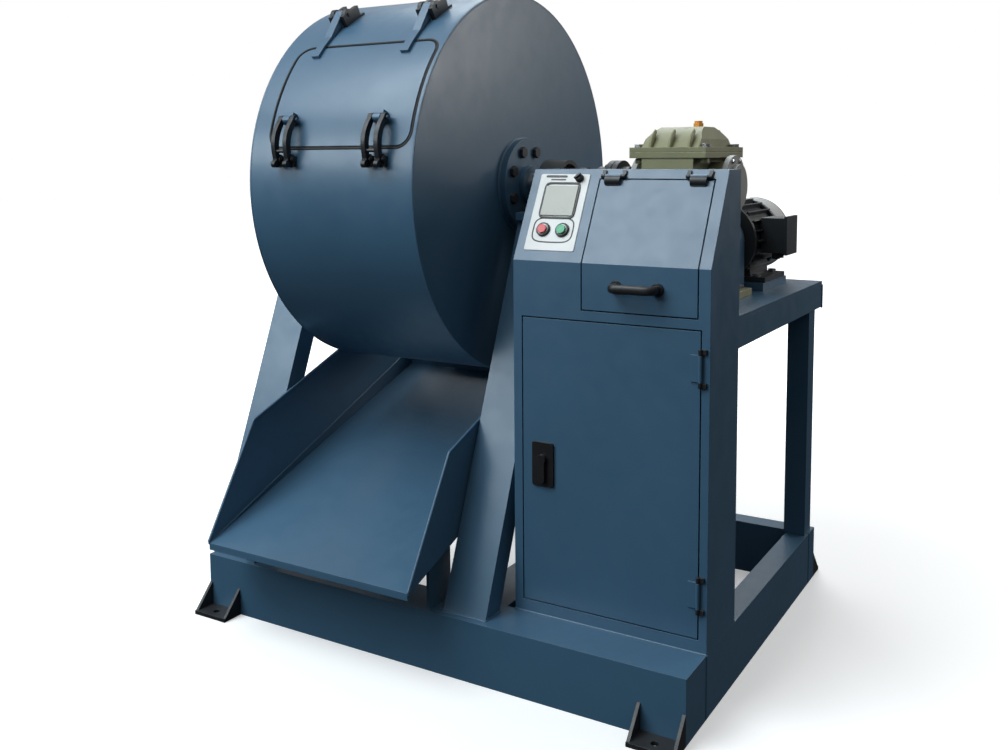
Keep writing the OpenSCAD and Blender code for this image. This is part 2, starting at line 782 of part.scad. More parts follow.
// The sheet arch over the coupling between motor and reducer.
module coupling_guard() {
    y0 = axis_y + 166;
    len = 56;
    r = 78;
    color([0.2, 0.3, 0.42]) {
        along_y(y0, len) translate([drive_x, worm_z]) difference() {
            union() {
                circle(r);
                translate([-r, table_z - worm_z]) square([2 * r, worm_h]);
            }
            circle(r - 3);
            translate([3 - r, table_z - worm_z - 1]) square([2 * r - 6, worm_h + 1]);
        }
        for (sx = [-1, 1]) span([drive_x + sx * (r + 9) - 12, y0, table_z],
            [drive_x + sx * (r + 9) + 12, y0 + len, table_z + 3]);
    }
}

cam_x = right_leg_x + leg_w + 8;

// The revolution pick-up on its bracket beside the counter cam.
module pulse_sensor() {
    color(steel) span([cam_x, axis_y + 52, leg_top_z + bearing_plate_t - 6],
        [cam_x + 22, axis_y + 56, axis_z + 14]);
    color(steel) span([right_leg_x + leg_w - 20, axis_y + 52, leg_top_z + bearing_plate_t],
        [cam_x + 22, axis_y + 74, leg_top_z + bearing_plate_t + 4]);
    color([0.85, 0.5, 0.15]) bar_y(axis_y + 47, 40, 6, cam_x + 11, axis_z);
}

module drum_shell() {
    color(paint) difference() {
        ring_x(drum_x - drum_half + plate_t, drum_inner_len, drum_out_r, drum_r);
        hatch_prism(0);
    }
}

module drum_ends() {
    color(paint) for (x0 = [drum_x - drum_half, drum_x + drum_half - plate_t])
        ring_x(x0, plate_t, drum_out_r, shaft_r + 12);
}

hub_bolt_pcd = 186;

module hub_flanges() {
    color(paint) for (x0 = [drum_x - drum_half - hub_t, drum_x + drum_half]) difference() {
        union() {
            bar_x(x0, hub_t, hub_r);
            bar_x(x0 < drum_x ? x0 - 14 : x0 + hub_t, 14, 52);
        }
        bar_x(x0 - 20, hub_t + 40, shaft_r);
        for (i = [0:7]) {
            a = i * 45 + 22.5;
            bar_x(x0 - 1, hub_t + 2, 8.4, axis_y + hub_bolt_pcd / 2 * cos(a),
                axis_z + hub_bolt_pcd / 2 * sin(a));
        }
    }
}

// The two stub shafts; the right one reaches the shaft coupling.
module stub_shafts() {
    left_end = left_leg_x + leg_w / 2 - 48;
    left_in = drum_x - drum_half + plate_t;
    right_in = drum_x + drum_half - plate_t;
    coupling_mid = drive_x - 190;
    color(steel) {
        bar_x(left_end, left_in - left_end, shaft_r);
        bar_x(right_in, coupling_mid - 4 - right_in, shaft_r);
        for (x0 = [left_leg_x, right_leg_x]) translate([x0 + leg_w / 2 - 20, 0, 0])
            ring_x(0, 40, 36, shaft_r);
    }
}

module hub_bolts() {
    color(black) for (i = [0:7]) {
        a = i * 45 + 22.5;
        translate([0, axis_y + hub_bolt_pcd / 2 * cos(a), axis_z + hub_bolt_pcd / 2 * sin(a)]) {
            translate([drum_x + drum_half + hub_t, 0, 0]) rotate([0, 90, 0]) bolt(16, hub_t);
            translate([drum_x - drum_half - hub_t, 0, 0]) rotate([0, -90, 0]) bolt(16, hub_t);
        }
    }
}

lifter = 50;
lifter_t = 5;

// Two angle-section lifters across the inside of the drum.
module lifters() {
    x0 = drum_x - drum_inner_len / 2;
    color(paint) for (phi = [100, 280]) at_drum(phi, drum_r - 1) {
        span([x0, -lifter / 2, -lifter_t], [x0 + drum_inner_len, lifter / 2, 0]);
        span([x0, -lifter / 2, -lifter], [x0 + drum_inner_len, -lifter / 2 + lifter_t, -lifter_t]);
    }
}

// Two flanged halves that join the stub shaft to the reducer's output shaft.
module shaft_coupling() {
    mid = drive_x - 190;
    color(black) {
        ring_x(mid - 50, 34, 48, shaft_r);
        ring_x(mid - 16, 15, 64, shaft_r);
        ring_x(mid + 1, 15, 64, shaft_r);
        ring_x(mid + 16, 22, 48, shaft_r);
        for (i = [0:5]) translate([mid - 16, axis_y, axis_z]) rotate([i * 60, 0, 0])
            translate([0, 54, 0]) rotate([0, -90, 0]) cylinder(h = 7, r = 7, $fn = 6);
    }
}

module counter_cam() {
    color(black) difference() {
        union() {
            ring_x(cam_x, 22, 46, shaft_r);
            bar_x(cam_x + 4, 14, 42);
        }
        bar_x(cam_x - 1, 40, shaft_r);
        at_drum(90, 46) translate([cam_x - 1, -8, -8]) cube([24, 16, 12]);
    }
}

// The worm wheel with the output shaft that carries the coupling's far half.
module worm_wheel() {
    x0 = drive_x - 188;
    color([0.72, 0.56, 0.28]) difference() {
        union() {
            ring_x(drive_x - 30, 60, 60, shaft_r);
            ring_x(drive_x - 12, 24, 112, 55);
            ring_x(drive_x - 26, 52, gear_dist - 30, 104);
        }
        for (i = [0:5]) translate([drive_x - 20, axis_y, axis_z]) rotate([i * 60, 0, 0])
            translate([0, 82, 0]) rotate([0, 90, 0]) cylinder(h = 40, r = 14);
    }
    color(steel) bar_x(x0, drive_x + 118 - x0, shaft_r);
}

ear_w = 12;
strap_w = 24;

// Hinge ears and pins of the hatch, welded to the shell behind its top seam.
module hinge_blocks() {
    color(black) for (dx = [-catch_dx, catch_dx]) {
        x = catch_x + dx;
        for (x0 = [x - strap_w / 2 - 1 - ear_w, x + strap_w / 2 + 1]) along_x(x0, ear_w) {
            drum_disc(hinge_phi, hinge_pin_r, 15);
            drum_band(drum_out_r, hinge_pin_r + 6, hinge_phi - 2.6, hinge_phi + 5);
        }
        along_x(x - strap_w / 2 - 4 - ear_w, strap_w + 8 + 2 * ear_w)
            drum_disc(hinge_phi, hinge_pin_r, pin_r);
        along_x(x - strap_w / 2 - 1 - ear_w, strap_w + 2 + 2 * ear_w)
            drum_band(drum_out_r, drum_out_r + 5, hinge_phi + 2.4, hinge_phi + 7);
    }
}

// Hinge straps: flat on the hatch, over the seam and up to the pin.
module hinge_straps() {
    neck = 51;
    color(paint) for (dx = [-catch_dx, catch_dx]) along_x(catch_x + dx - strap_w / 2, strap_w)
        difference() {
            union() {
                drum_band(drum_out_r, drum_out_r + 8, 40.6, 44.6);
                drum_band(drum_out_r + 1, drum_out_r + 8, 44.5, neck);
                translate([axis_y, axis_z]) polygon([polar(neck - 2, drum_out_r + 1.2),
                    polar(neck + 1.5, drum_out_r + 2), polar(hinge_phi - 0.4, hinge_pin_r - 11),
                    polar(hinge_phi, hinge_pin_r), polar(hinge_phi - 0.6, hinge_pin_r + 10),
                    polar(neck - 2, drum_out_r + 8)]);
                drum_disc(hinge_phi, hinge_pin_r, 12);
            }
            drum_disc(hinge_phi, hinge_pin_r, pin_r + running);
        }
}

module hatch_panel() {
    color(paint) intersection() {
        ring_x(drum_x - drum_half + plate_t, drum_inner_len, drum_out_r, drum_r);
        hatch_prism(hatch_gap);
    }
}

// The rubber strip around the hatch, a little below the outer surface.
module hatch_seal() {
    color(rubber) intersection() {
        ring_x(drum_x - drum_half + plate_t, drum_inner_len, drum_out_r - 2, drum_r + 0.5);
        difference() {
            hatch_prism(0.9);
            hatch_prism(hatch_gap);
        }
    }
}

// Pivot blocks and cross pins of the two clamps, welded to the hatch.
module clamp_ears() {
    color(paint) for (dx = [-catch_dx, catch_dx]) {
        x = catch_x + dx;
        along_x(x - 11, 22) {
            drum_disc(clamp_phi, clamp_pin_r, 11);
            drum_band(drum_out_r, clamp_pin_r, clamp_phi - 1.4, clamp_phi + 2.2);
        }
        along_x(x - 30, 60) drum_disc(clamp_phi, clamp_pin_r, pin_r);
    }
}

clamp_pin = polar(clamp_phi, clamp_pin_r);
keeper_bar = polar(keeper_phi, keeper_bar_r);
// The direction in which the keeper bar leaves the claw, at right angles to the arm.
claw_vec = keeper_bar - clamp_pin;
claw_dir = atan2(claw_vec[1], claw_vec[0]) + 90;

arm_bulge = 13;

// A curve from the clamp's pivot down to its claw, `rise` above the shell at its ends.
function arm_line(rise, bulge) = [for (t = [0:0.0625:1])
    polar(clamp_phi + t * (keeper_phi - clamp_phi), drum_out_r + rise + bulge * sin(180 * t))];

// One clamp: two bowed arms on a common pin, joined by a finger bar, hooked on the keepers.
module clamp(x) {
    outer = arm_line(26, arm_bulge);
    inner = arm_line(12, arm_bulge - 3);
    for (side = [-1, 1]) along_x(x + side * arm_mid - arm_w / 2, arm_w) difference() {
        union() {
            drum_disc(clamp_phi, clamp_pin_r, 11);
            translate([axis_y, axis_z])
                polygon(concat(outer, [for (i = [len(inner) - 1:-1:0]) inner[i]]));
            drum_disc(keeper_phi, keeper_bar_r, 12.5);
            drum_disc(keeper_phi - 1.4, drum_out_r + 23, 9);
        }
        drum_disc(clamp_phi, clamp_pin_r, pin_r + running);
        translate([axis_y + keeper_bar[0], axis_z + keeper_bar[1]]) {
            circle(pin_r + slot_clear);
            rotate(claw_dir) translate([0, -pin_r - slot_clear / 2])
                square([30, 2 * pin_r + slot_clear]);
        }
    }
    along_x(x - arm_mid, 2 * arm_mid) drum_disc(keeper_phi + 2, drum_out_r + 26, 4.5);
}

module left_clamp() {
    color(black) clamp(catch_x - catch_dx);
}

module right_clamp() {
    color(black) clamp(catch_x + catch_dx);
}

// Keepers on the shell below the hatch: two posts and a bar for each clamp arm.
module clamp_keepers() {
    color(black) for (dx = [-catch_dx, catch_dx], side = [-1, 1]) {
        x = catch_x + dx + side * arm_mid;
        for (x0 = [x - 12, x + 8]) along_x(x0, 4) {
            drum_disc(keeper_phi, keeper_bar_r, 8);
            drum_band(drum_out_r, keeper_bar_r, keeper_phi - 2, keeper_phi + 0.9);
        }
        along_x(x - 14, 28) drum_disc(keeper_phi, keeper_bar_r, pin_r);
    }
}

// The motor's shaft with its rotor core.
module motor_shaft() {
    color(steel) {
        bar_y(coupling_y + 3, motor_y1 - 22 - coupling_y, 14);
        bar_y(body_y0 + 22, 136, 57);
    }
}

module motor_fan() {
    y0 = body_y1 + 32;
    color(black) {
        difference() {
            bar_y(y0, 30, 24);
            bar_y(y0 - 1, 40, 14);
        }
        for (a = [0:45:315]) translate([drive_x, 0, worm_z]) rotate([0, a, 0])
            span([22, y0, -1.5], [motor_r - 18, y0 + 30, 1.5]);
    }
}

module worm_shaft() {
    color(steel) {
        bar_y(axis_y - 136, coupling_y - 3 - axis_y + 136, 16);
        for (side = [-1, 1]) bar_y(axis_y + side * 118 - 12, 24, 20);
        bar_y(axis_y - 60, 120, 22);
        for (i = [-5:5]) translate([0, axis_y + i * 10, 0]) bar_y(-2.5, 5, 28);
    }
}

// The jaw coupling between the motor and the worm.
module motor_coupling() {
    color(black) for (half = [[-24, 16], [3, 14]]) difference() {
        bar_y(coupling_y + half[0], 21, 40);
        bar_y(coupling_y + half[0] - 1, 30, half[1]);
    }
    color(rubber) for (i = [0:3]) translate([drive_x, 0, worm_z]) rotate([0, i * 90 + 45, 0])
        span([18, coupling_y - 2.9, -9], [39, coupling_y + 2.9, 9]);
}

// The cabinet door: a pan of sheet metal, flush with the front, with hinge knuckles.
module cabinet_door() {
    color(paint) {
        difference() {
            span([door_x0, cab_y0, door_z0], [door_x1, cab_y0 + door_t, door_z1]);
            span([door_x0 + 2, cab_y0 + 2, door_z0 + 2], [door_x1 - 2, cab_y0 + door_t + 1, door_z1 - 2]);
            span([latch_x - 20, cab_y0 - 1, latch_z - 40], [latch_x + 20, cab_y0 + 4, latch_z + 40]);
        }
        for (z = [door_z0 + 70, door_z1 - 110]) difference() {
            union() {
                translate([door_axis_x, door_axis_y, z]) cylinder(h = 59, r = 4.6, $fn = 32);
                span([door_x1 - 22, cab_y0 - 3, z], [door_axis_x - 1, cab_y0, z + 59]);
            }
            translate([door_axis_x, door_axis_y, z - 1]) cylinder(h = 70, r = 3.3, $fn = 32);
        }
    }
}

latch_x = door_x0 + 54;
latch_z = (door_z0 + door_z1) / 2 - 4;

// The escutcheon of the door latch, with a bore for the spindle.
module latch_housing() {
    color(black) difference() {
        union() {
            along_y(cab_y0 - 5, 5) translate([latch_x, latch_z]) rounded(56, 106, 6);
            span([latch_x - 19, cab_y0, latch_z - 39], [latch_x + 19, cab_y0 + 14, latch_z + 39]);
        }
        bar_y(cab_y0 - 6, 30, 5.2, latch_x, latch_z + 14);
    }
}

// The quarter-turn handle, its spindle and the cam behind the door.
module door_latch() {
    color(black) {
        bar_y(cab_y0 - 14, 8.5, 11, latch_x, latch_z + 14);
        along_y(cab_y0 - 14, 8.5) translate([latch_x, latch_z - 11]) rounded(17, 66, 8);
        bar_y(cab_y0 - 6, 31, 5, latch_x, latch_z + 14);
        span([latch_x - 9, cab_y0 + 20, latch_z - 26], [latch_x + 9, cab_y0 + 24, latch_z + 22]);
    }
}

// The writing lid: a sloped panel and a front strip in one bent sheet.
module console_lid() {
    color(paint) {
        on_slope() difference() {
            union() {
                for (x = [lid_x0 + 5, lid_x1 - 63]) {
                    translate([x, lid_axis_s, lid_axis_h]) rotate([0, 90, 0])
                        translate([0, 0, 9]) cylinder(h = 40, r = 5, $fn = 32);
                    span([x + 9, lid_axis_s - 20, 0], [x + 49, lid_axis_s - 2, 3]);
                    span([x + 9, lid_axis_s - 4, 0], [x + 49, lid_axis_s - 1, lid_axis_h]);
                }
            }
            for (x = [lid_x0, lid_x1 - 70]) translate([x - 5, lid_axis_s, lid_axis_h])
                rotate([0, 90, 0]) cylinder(h = 90, r = 2.6, $fn = 32);
        }
        along_x(lid_x0, lid_x1 - lid_x0) bent_band(cab_front_z - lid_drop, lid_top_s, 0, lid_t);
        for (x0 = [lid_x0, lid_x1 - lid_t]) span([x0, cab_y0, cab_front_z - lid_drop],
            [x0 + lid_t, cab_y0 + 14, cab_front_z - 4]);
        span([lid_x0, cab_y0, cab_front_z - lid_drop],
            [lid_x1, cab_y0 + 14, cab_front_z - lid_drop + lid_t]);
    }
}

handle_x = lid_x0 + 134;
handle_z = cab_front_z - 50;

// A moulded bow handle on the lid's front strip.
module lid_handle() {
    color(black) for (side = [-1, 1]) translate([handle_x, cab_y0, handle_z]) {
        translate([side * 49, 0, 0]) rotate([90, 0, 0]) cylinder(h = 5, r = 14);
        translate([side * 49, -4, 0]) rotate([90, 0, 0]) cylinder(h = 32, r = 8);
    }
    color(black) translate([handle_x, cab_y0 - 32, handle_z])
        translate([-60, 0, 0]) rotate([0, 90, 0]) cylinder(h = 120, r = 11);
}

// A panel push button: its cap and its stem, inside the bezel on the plate.
module push_button(dx, shade) {
    color(shade) on_slope() translate([panel_mid_x + dx, button_s, 0]) {
        translate([0, 0, -12]) cylinder(h = 24, r = 10.8);
        translate([0, 0, -28]) cylinder(h = 17, r = 8);
    }
}

module stop_button() {
    push_button(-25, [0.8, 0.15, 0.12]);
}

module start_button() {
    push_button(25, [0.1, 0.6, 0.35]);
}

front_beam();
rear_beam();
cross_beams();
anchor_feet();
left_legs();
right_legs();
bearing_plates();
bearing_housings();
bearing_rings();
frame_bolts();
chute_floor();
chute_walls();
chute_brackets();
cabinet_shell();
switchgear();
control_plate();
counter_display();
cabinet_hinges();
table_top();
table_frame();
motor_rails();
gearbox_housing();
gearbox_cover();
gearbox_side_covers();
gearbox_breather();
motor_frame();
motor_end_shields();
motor_stator();
motor_cowl();
terminal_box();
coupling_guard();
pulse_sensor();
drum_shell();
drum_ends();
hub_flanges();
stub_shafts();
hub_bolts();
lifters();
shaft_coupling();
counter_cam();
worm_wheel();
hinge_blocks();
clamp_keepers();
hatch_panel();
hatch_seal();
hinge_straps();
clamp_ears();
left_clamp();
right_clamp();
motor_shaft();
motor_fan();
worm_shaft();
motor_coupling();
cabinet_door();
latch_housing();
door_latch();
console_lid();
lid_handle();
stop_button();
start_button();
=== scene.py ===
# %% [markdown]
# # A tumbling machine in painted steel
# This lesson dresses a machine that is already built as solids: a drum on two trestles,
# a sloping chute, a sheet-metal console and a worm drive on a table. The solids give the
# sizes and the places. Here they get paint, castings, rubber and weld beads, and the parts
# that a solid model leaves plain get finer surfaces.

# %% Load the frame
import json
import math

import bmesh
import bpy
import numpy as np
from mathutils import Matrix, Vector


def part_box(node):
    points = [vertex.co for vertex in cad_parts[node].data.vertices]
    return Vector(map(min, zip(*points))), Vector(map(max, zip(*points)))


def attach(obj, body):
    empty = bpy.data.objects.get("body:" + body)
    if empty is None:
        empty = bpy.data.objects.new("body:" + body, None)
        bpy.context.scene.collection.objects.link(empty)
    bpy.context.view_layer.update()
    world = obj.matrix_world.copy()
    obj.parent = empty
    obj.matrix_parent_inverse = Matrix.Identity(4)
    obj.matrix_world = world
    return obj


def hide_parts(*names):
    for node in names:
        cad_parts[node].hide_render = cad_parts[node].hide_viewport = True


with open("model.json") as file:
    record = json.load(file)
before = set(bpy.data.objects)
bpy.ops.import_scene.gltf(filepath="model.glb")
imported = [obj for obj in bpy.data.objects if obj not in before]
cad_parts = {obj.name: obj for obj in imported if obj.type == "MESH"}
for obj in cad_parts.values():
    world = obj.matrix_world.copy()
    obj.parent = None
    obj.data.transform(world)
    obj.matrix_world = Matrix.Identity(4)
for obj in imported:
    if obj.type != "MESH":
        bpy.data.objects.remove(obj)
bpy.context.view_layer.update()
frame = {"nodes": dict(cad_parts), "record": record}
nodes = frame["nodes"]

# %% [markdown]
# ## Camera
# The machine is seen from its front right, a little above the drum's axis. The camera looks
# down by less than six degrees, so the verticals stay nearly upright, and a small vertical
# shift does the rest, as an architect's camera would. More shift would also push other views
# off centre.

# %% Camera
scene = bpy.context.scene
camera = bpy.data.objects.new("camera", bpy.data.cameras.new("camera"))
scene.collection.objects.link(camera)
look_down, tilt, heading = 5.80, 0.35, 30.36    # degrees
camera.location = (1.4477, -2.4416, 1.2449)
camera.rotation_euler = (math.radians(90 - look_down), math.radians(tilt), math.radians(heading))
camera.data.lens = 37.26
camera.data.shift_x = -0.019
camera.data.shift_y = -0.115
camera.data.clip_start = 0.05
scene.camera = camera
print("camera at", [round(v, 2) for v in camera.location])

# %% [markdown]
# ## Floor and light
# Satin enamel shows what it reflects. A large lamp high in front on the left is what the
# console's slope, the chute and the drum's crown mirror, so they turn pale, while upright
# faces mirror the dim room and stay deep blue. A low lamp reaches in under the drum, one
# overhead lights the flat tops, and two more serve the far side and the back. The surround is
# bright overhead and dim near the horizon, and only the view straight into it is plain white.
#
# The floor is hidden from diffuse and glossy rays: a white floor would throw its light up
# into the undersides, which should stay dark. With distance it turns into an even white, so
# no horizon shows.

# %% Floor
def floor_disc(radius=30.0, z=-0.0005, around=96):
    """A flat disc: a point at each of `around` angles on a circle of that radius."""
    angle = np.linspace(0, 2 * np.pi, around, endpoint=False)
    points = np.stack([radius * np.cos(angle), radius * np.sin(angle), np.full(around, z)], 1)
    mesh = bpy.data.meshes.new("floor")
    mesh.from_pydata(points.tolist(), [], [list(range(around))])
    floor = bpy.data.objects.new("floor", mesh)
    scene.collection.objects.link(floor)
    return floor


def floor_paper(near=1.3, far=3.6, glow_near=0.30, glow_far=1.0):
    """Matt paper whose own light climbs from `glow_near` at the radius `near` to `glow_far`
    at the radius `far`, in a smooth step, so it ends as an evenly lit white."""
    paper = bpy.data.materials.new("studio floor")
    paper.use_nodes = True
    tree = paper.node_tree
    shader = tree.nodes["Principled BSDF"]
    shader.inputs["Base Color"].default_value = (0.86, 0.86, 0.86, 1)
    shader.inputs["Roughness"].default_value = 0.9
    shader.inputs["Specular IOR Level"].default_value = 0.1
    shader.inputs["Emission Color"].default_value = (1, 1, 1, 1)
    length = tree.nodes.new("ShaderNodeVectorMath")
    length.operation = "LENGTH"
    tree.links.new(tree.nodes.new("ShaderNodeTexCoord").outputs["Object"], length.inputs[0])
    glow = tree.nodes.new("ShaderNodeMapRange")
    glow.interpolation_type = "SMOOTHSTEP"
    limits = {"From Min": near, "From Max": far, "To Min": glow_near, "To Max": glow_far}
    for socket, value in limits.items():
        glow.inputs[socket].default_value = value
    tree.links.new(length.outputs["Value"], glow.inputs["Value"])
    tree.links.new(glow.outputs["Result"], shader.inputs["Emission Strength"])
    return paper


floor = floor_disc()
floor.data.materials.append(floor_paper())
floor.visible_diffuse = False
floor.visible_glossy = False
print("floor", round(floor.dimensions.x), "metres across")


# %% Lamps
def soft_lamp(name, place, target, width, height, watts, colour):
    """A rectangular lamp at `place` that faces `target`."""
    data = bpy.data.lights.new(name, "AREA")
    data.shape = "RECTANGLE"
    data.size, data.size_y = width, height
    data.energy = watts
    data.color = colour
    lamp = bpy.data.objects.new(name, data)
    scene.collection.objects.link(lamp)
    lamp.location = place
    lamp.rotation_euler = (Vector(target) - Vector(place)).to_track_quat("-Z", "Y").to_euler()


lamps = [
    ("key", (-1.5, -2.6, 4.6), (0.1, -0.2, 0.8), 3.4, 2.8, 178, (0.86, 0.95, 1.0)),
    ("low front", (-2.8, -3.6, 2.4), (-0.2, -0.3, 0.6), 3.2, 1.1, 64, (0.86, 0.96, 1.0)),
    ("top", (-0.8, 1.9, 4.4), (0, 0, 0.9), 3.0, 2.4, 55, (0.88, 0.96, 1.0)),
    ("far side", (3.6, 3.6, 2.6), (0, 0, 1.2), 2.2, 2.0, 62, (1, 0.99, 0.97)),
    ("rear", (-1.6, 4.2, 4.0), (0, 0.3, 0.8), 2.6, 2.0, 60, (0.94, 0.98, 1.0)),
]
for lamp in lamps:
    soft_lamp(*lamp)
print(len(lamps), "lamps")


# %% Surround
def studio_surround(below=0.02, zenith=0.42, seen=1.0, dim_until=-0.1, bright_from=0.8):
    """World light that climbs from `below` to `zenith` while a direction's z climbs from
    `dim_until` to `bright_from`. A ray straight from the camera sees `seen` instead."""
    world = bpy.data.worlds.new("studio surround")
    world.use_nodes = True
    tree = world.node_tree
    direction = tree.nodes.new("ShaderNodeTexCoord").outputs["Generated"]
    split = tree.nodes.new("ShaderNodeSeparateXYZ")
    tree.links.new(direction, split.inputs[0])
    rise = tree.nodes.new("ShaderNodeMapRange")
    limits = {"From Min": dim_until, "From Max": bright_from, "To Min": below, "To Max": zenith}
    for socket, value in limits.items():
        rise.inputs[socket].default_value = value
    tree.links.new(split.outputs["Z"], rise.inputs["Value"])
    straight = tree.nodes.new("ShaderNodeLightPath").outputs["Is Camera Ray"]
    # A Mix node's input 0 is the amount, and 2 and 3 are the two numbers that it mixes.
    pick = tree.nodes.new("ShaderNodeMix")
    tree.links.new(straight, pick.inputs[0])
    tree.links.new(rise.outputs["Result"], pick.inputs[2])
    pick.inputs[3].default_value = seen
    background = tree.nodes["Background"]
    tree.links.new(pick.outputs[0], background.inputs["Strength"])
    background.inputs["Color"].default_value = (1, 1, 1, 1)
    scene.world = world


studio_surround()
scene.view_settings.view_transform = "Standard"
print("surround", scene.world.name, "seen through", scene.view_settings.view_transform)

# %% [markdown]
# ## Finishes
# Nearly everything on this machine is enamel sprayed over steel. Real enamel is never one
# flat colour: it drifts a little over a panel, it dulls where dust settles on faces that look
# up, it thins to a paler line along sharp edges, and its skin has a faint orange peel.
# Each of those is one small group of nodes that reads the object's own metres.

# %% Node helpers
def add(tree, kind, **values):
    """A new node with its properties and its unlinked inputs set by name."""
    node = tree.nodes.new("ShaderNode" + kind)
    for name, value in values.items():
        if hasattr(node, name):
            setattr(node, name, value)
        else:
            node.inputs[name.replace("_", " ")].default_value = value
    return node


def noise(tree, place, scale, detail=4.0, roughness=0.55, stretch=None):
    """Noise over the object's metres, stretched along an axis where `stretch` is given."""
    texture = add(tree, "TexNoise", Scale=scale, Detail=detail, Roughness=roughness)
    if stretch:
        mapping = add(tree, "Mapping", Scale=stretch)
        tree.links.new(place, mapping.inputs["Vector"])
        place = mapping.outputs["Vector"]
    tree.links.new(place, texture.inputs["Vector"])
    return texture.outputs["Fac"]


def ramp(tree, value, low, high, start=0.0, end=1.0):
    """A value from low..high moved to start..end and held there."""
    node = add(tree, "MapRange")
    limits = {"From Min": low, "From Max": high, "To Min": start, "To Max": end}
    for socket, number in limits.items():
        node.inputs[socket].default_value = number
    tree.links.new(value, node.inputs["Value"])
    return node.outputs["Result"]


def blend_colour(tree, amount, first, second):
    """Mixes two colours by amount; each is a fixed colour or another node's. A Mix node's
    inputs 6 and 7 are its two colours, and its output 2 is the colour that results."""
    node = add(tree, "Mix", data_type="RGBA")
    tree.links.new(amount, node.inputs[0])
    for socket, colour in ((node.inputs[6], first), (node.inputs[7], second)):
        if isinstance(colour, tuple):
            socket.default_value = (*colour, 1)
        else:
            tree.links.new(colour, socket)
    return node.outputs[2]


def product(tree, first, second):
    """Two values multiplied; the second may be a number."""
    node = add(tree, "Math", operation="MULTIPLY")
    tree.links.new(first, node.inputs[0])
    if isinstance(second, float):
        node.inputs[1].default_value = second
    else:
        tree.links.new(second, node.inputs[1])
    return node.outputs[0]


# %% [markdown]
# A worn edge needs a mask of where edges are. The Bevel node gives the normal that a small
# rounding would have. Where it turns away from the real normal there is an edge, so one minus
# their dot product is the mask, and the same rounded normal catches a thin highlight.

# %% The finish builder
dust_colour = (0.42, 0.41, 0.39)
coat_roughness = 0.25
skin_depth = 0.0006


def finish(name, colour, roughness, metallic=0.0, drift=0.10, dust=0.10, edge=0.25,
           edge_colour=None, edge_radius=0.0015, grain=0.15, grain_scale=700.0,
           coat=0.0, pits=0.0, streak=None, grime=0.0):
    """One procedural finish. Broad noise drifts the colour between a darker and a paler shade,
    then grime, dust on faces that look up and rubbed edges are laid over it. Another noise
    moves the roughness. The bump is fine noise plus `pits` times a coarser one."""
    material = bpy.data.materials.new(name)
    material.use_nodes = True
    tree = material.node_tree
    shader = tree.nodes["Principled BSDF"]
    place = add(tree, "TexCoord").outputs["Object"]
    geometry = add(tree, "NewGeometry")
    rounding = add(tree, "Bevel", samples=4, Radius=edge_radius)

    dark = tuple(c * (1 - drift) for c in colour)
    pale = tuple(min(1.0, c * (1 + drift) + 0.01 * drift) for c in colour)
    paint = blend_colour(tree, ramp(tree, noise(tree, place, 3.1), 0.3, 0.7), dark, pale)
    if grime > 0:
        grimy = ramp(tree, noise(tree, place, 9.0, 8.0, 0.65), 0.52, 0.8, 0.0, grime)
        paint = blend_colour(tree, grimy, paint, tuple(c * 0.35 for c in colour))
    if dust > 0:
        split = add(tree, "SeparateXYZ")
        tree.links.new(geometry.outputs["Normal"], split.inputs[0])
        upward = ramp(tree, split.outputs["Z"], 0.35, 1.0)
        cloud = ramp(tree, noise(tree, place, 14.0, 6.0), 0.35, 0.75, 0.3, 1.0)
        film = product(tree, product(tree, upward, cloud), dust)
        paint = blend_colour(tree, film, paint, dust_colour)
    if edge > 0:
        dot = add(tree, "VectorMath", operation="DOT_PRODUCT")
        tree.links.new(rounding.outputs["Normal"], dot.inputs[0])
        tree.links.new(geometry.outputs["Normal"], dot.inputs[1])
        bent = ramp(tree, dot.outputs["Value"], 0.995, 0.86)
        rubbed = ramp(tree, noise(tree, place, 45.0, 6.0, 0.7), 0.4, 0.65)
        worn = edge_colour or tuple(min(1.0, c * 1.7 + 0.03) for c in colour)
        bare = product(tree, product(tree, bent, rubbed), edge)
        paint = blend_colour(tree, bare, paint, worn)
    tree.links.new(paint, shader.inputs["Base Color"])

    shine = ramp(tree, noise(tree, place, 22.0, 5.0), 0.3, 0.7, roughness - 0.06, roughness + 0.07)
    tree.links.new(shine, shader.inputs["Roughness"])
    shader.inputs["Metallic"].default_value = metallic
    shader.inputs["Coat Weight"].default_value = coat
    shader.inputs["Coat Roughness"].default_value = coat_roughness

    height = noise(tree, place, grain_scale, 3.0, 0.5, streak)
    if pits > 0:
        coarse = add(tree, "Math", operation="MULTIPLY_ADD")
        tree.links.new(noise(tree, place, grain_scale * 0.18, 5.0, 0.7), coarse.inputs[0])
        coarse.inputs[1].default_value = pits
        tree.links.new(height, coarse.inputs[2])
        height = coarse.outputs["Value"]
    bump = add(tree, "Bump", Strength=grain, Distance=skin_depth)
    tree.links.new(height, bump.inputs["Height"])
    tree.links.new(rounding.outputs["Normal"], bump.inputs["Normal"])
    tree.links.new(bump.outputs["Normal"], shader.inputs["Normal"])
    return material


# %% [markdown]
# The paint is a blue-grey. The black parts are satin enamel on forgings and plates, the
# worm gear's case is an olive casting, and the motor is a dark casting with a pale sheet cowl.

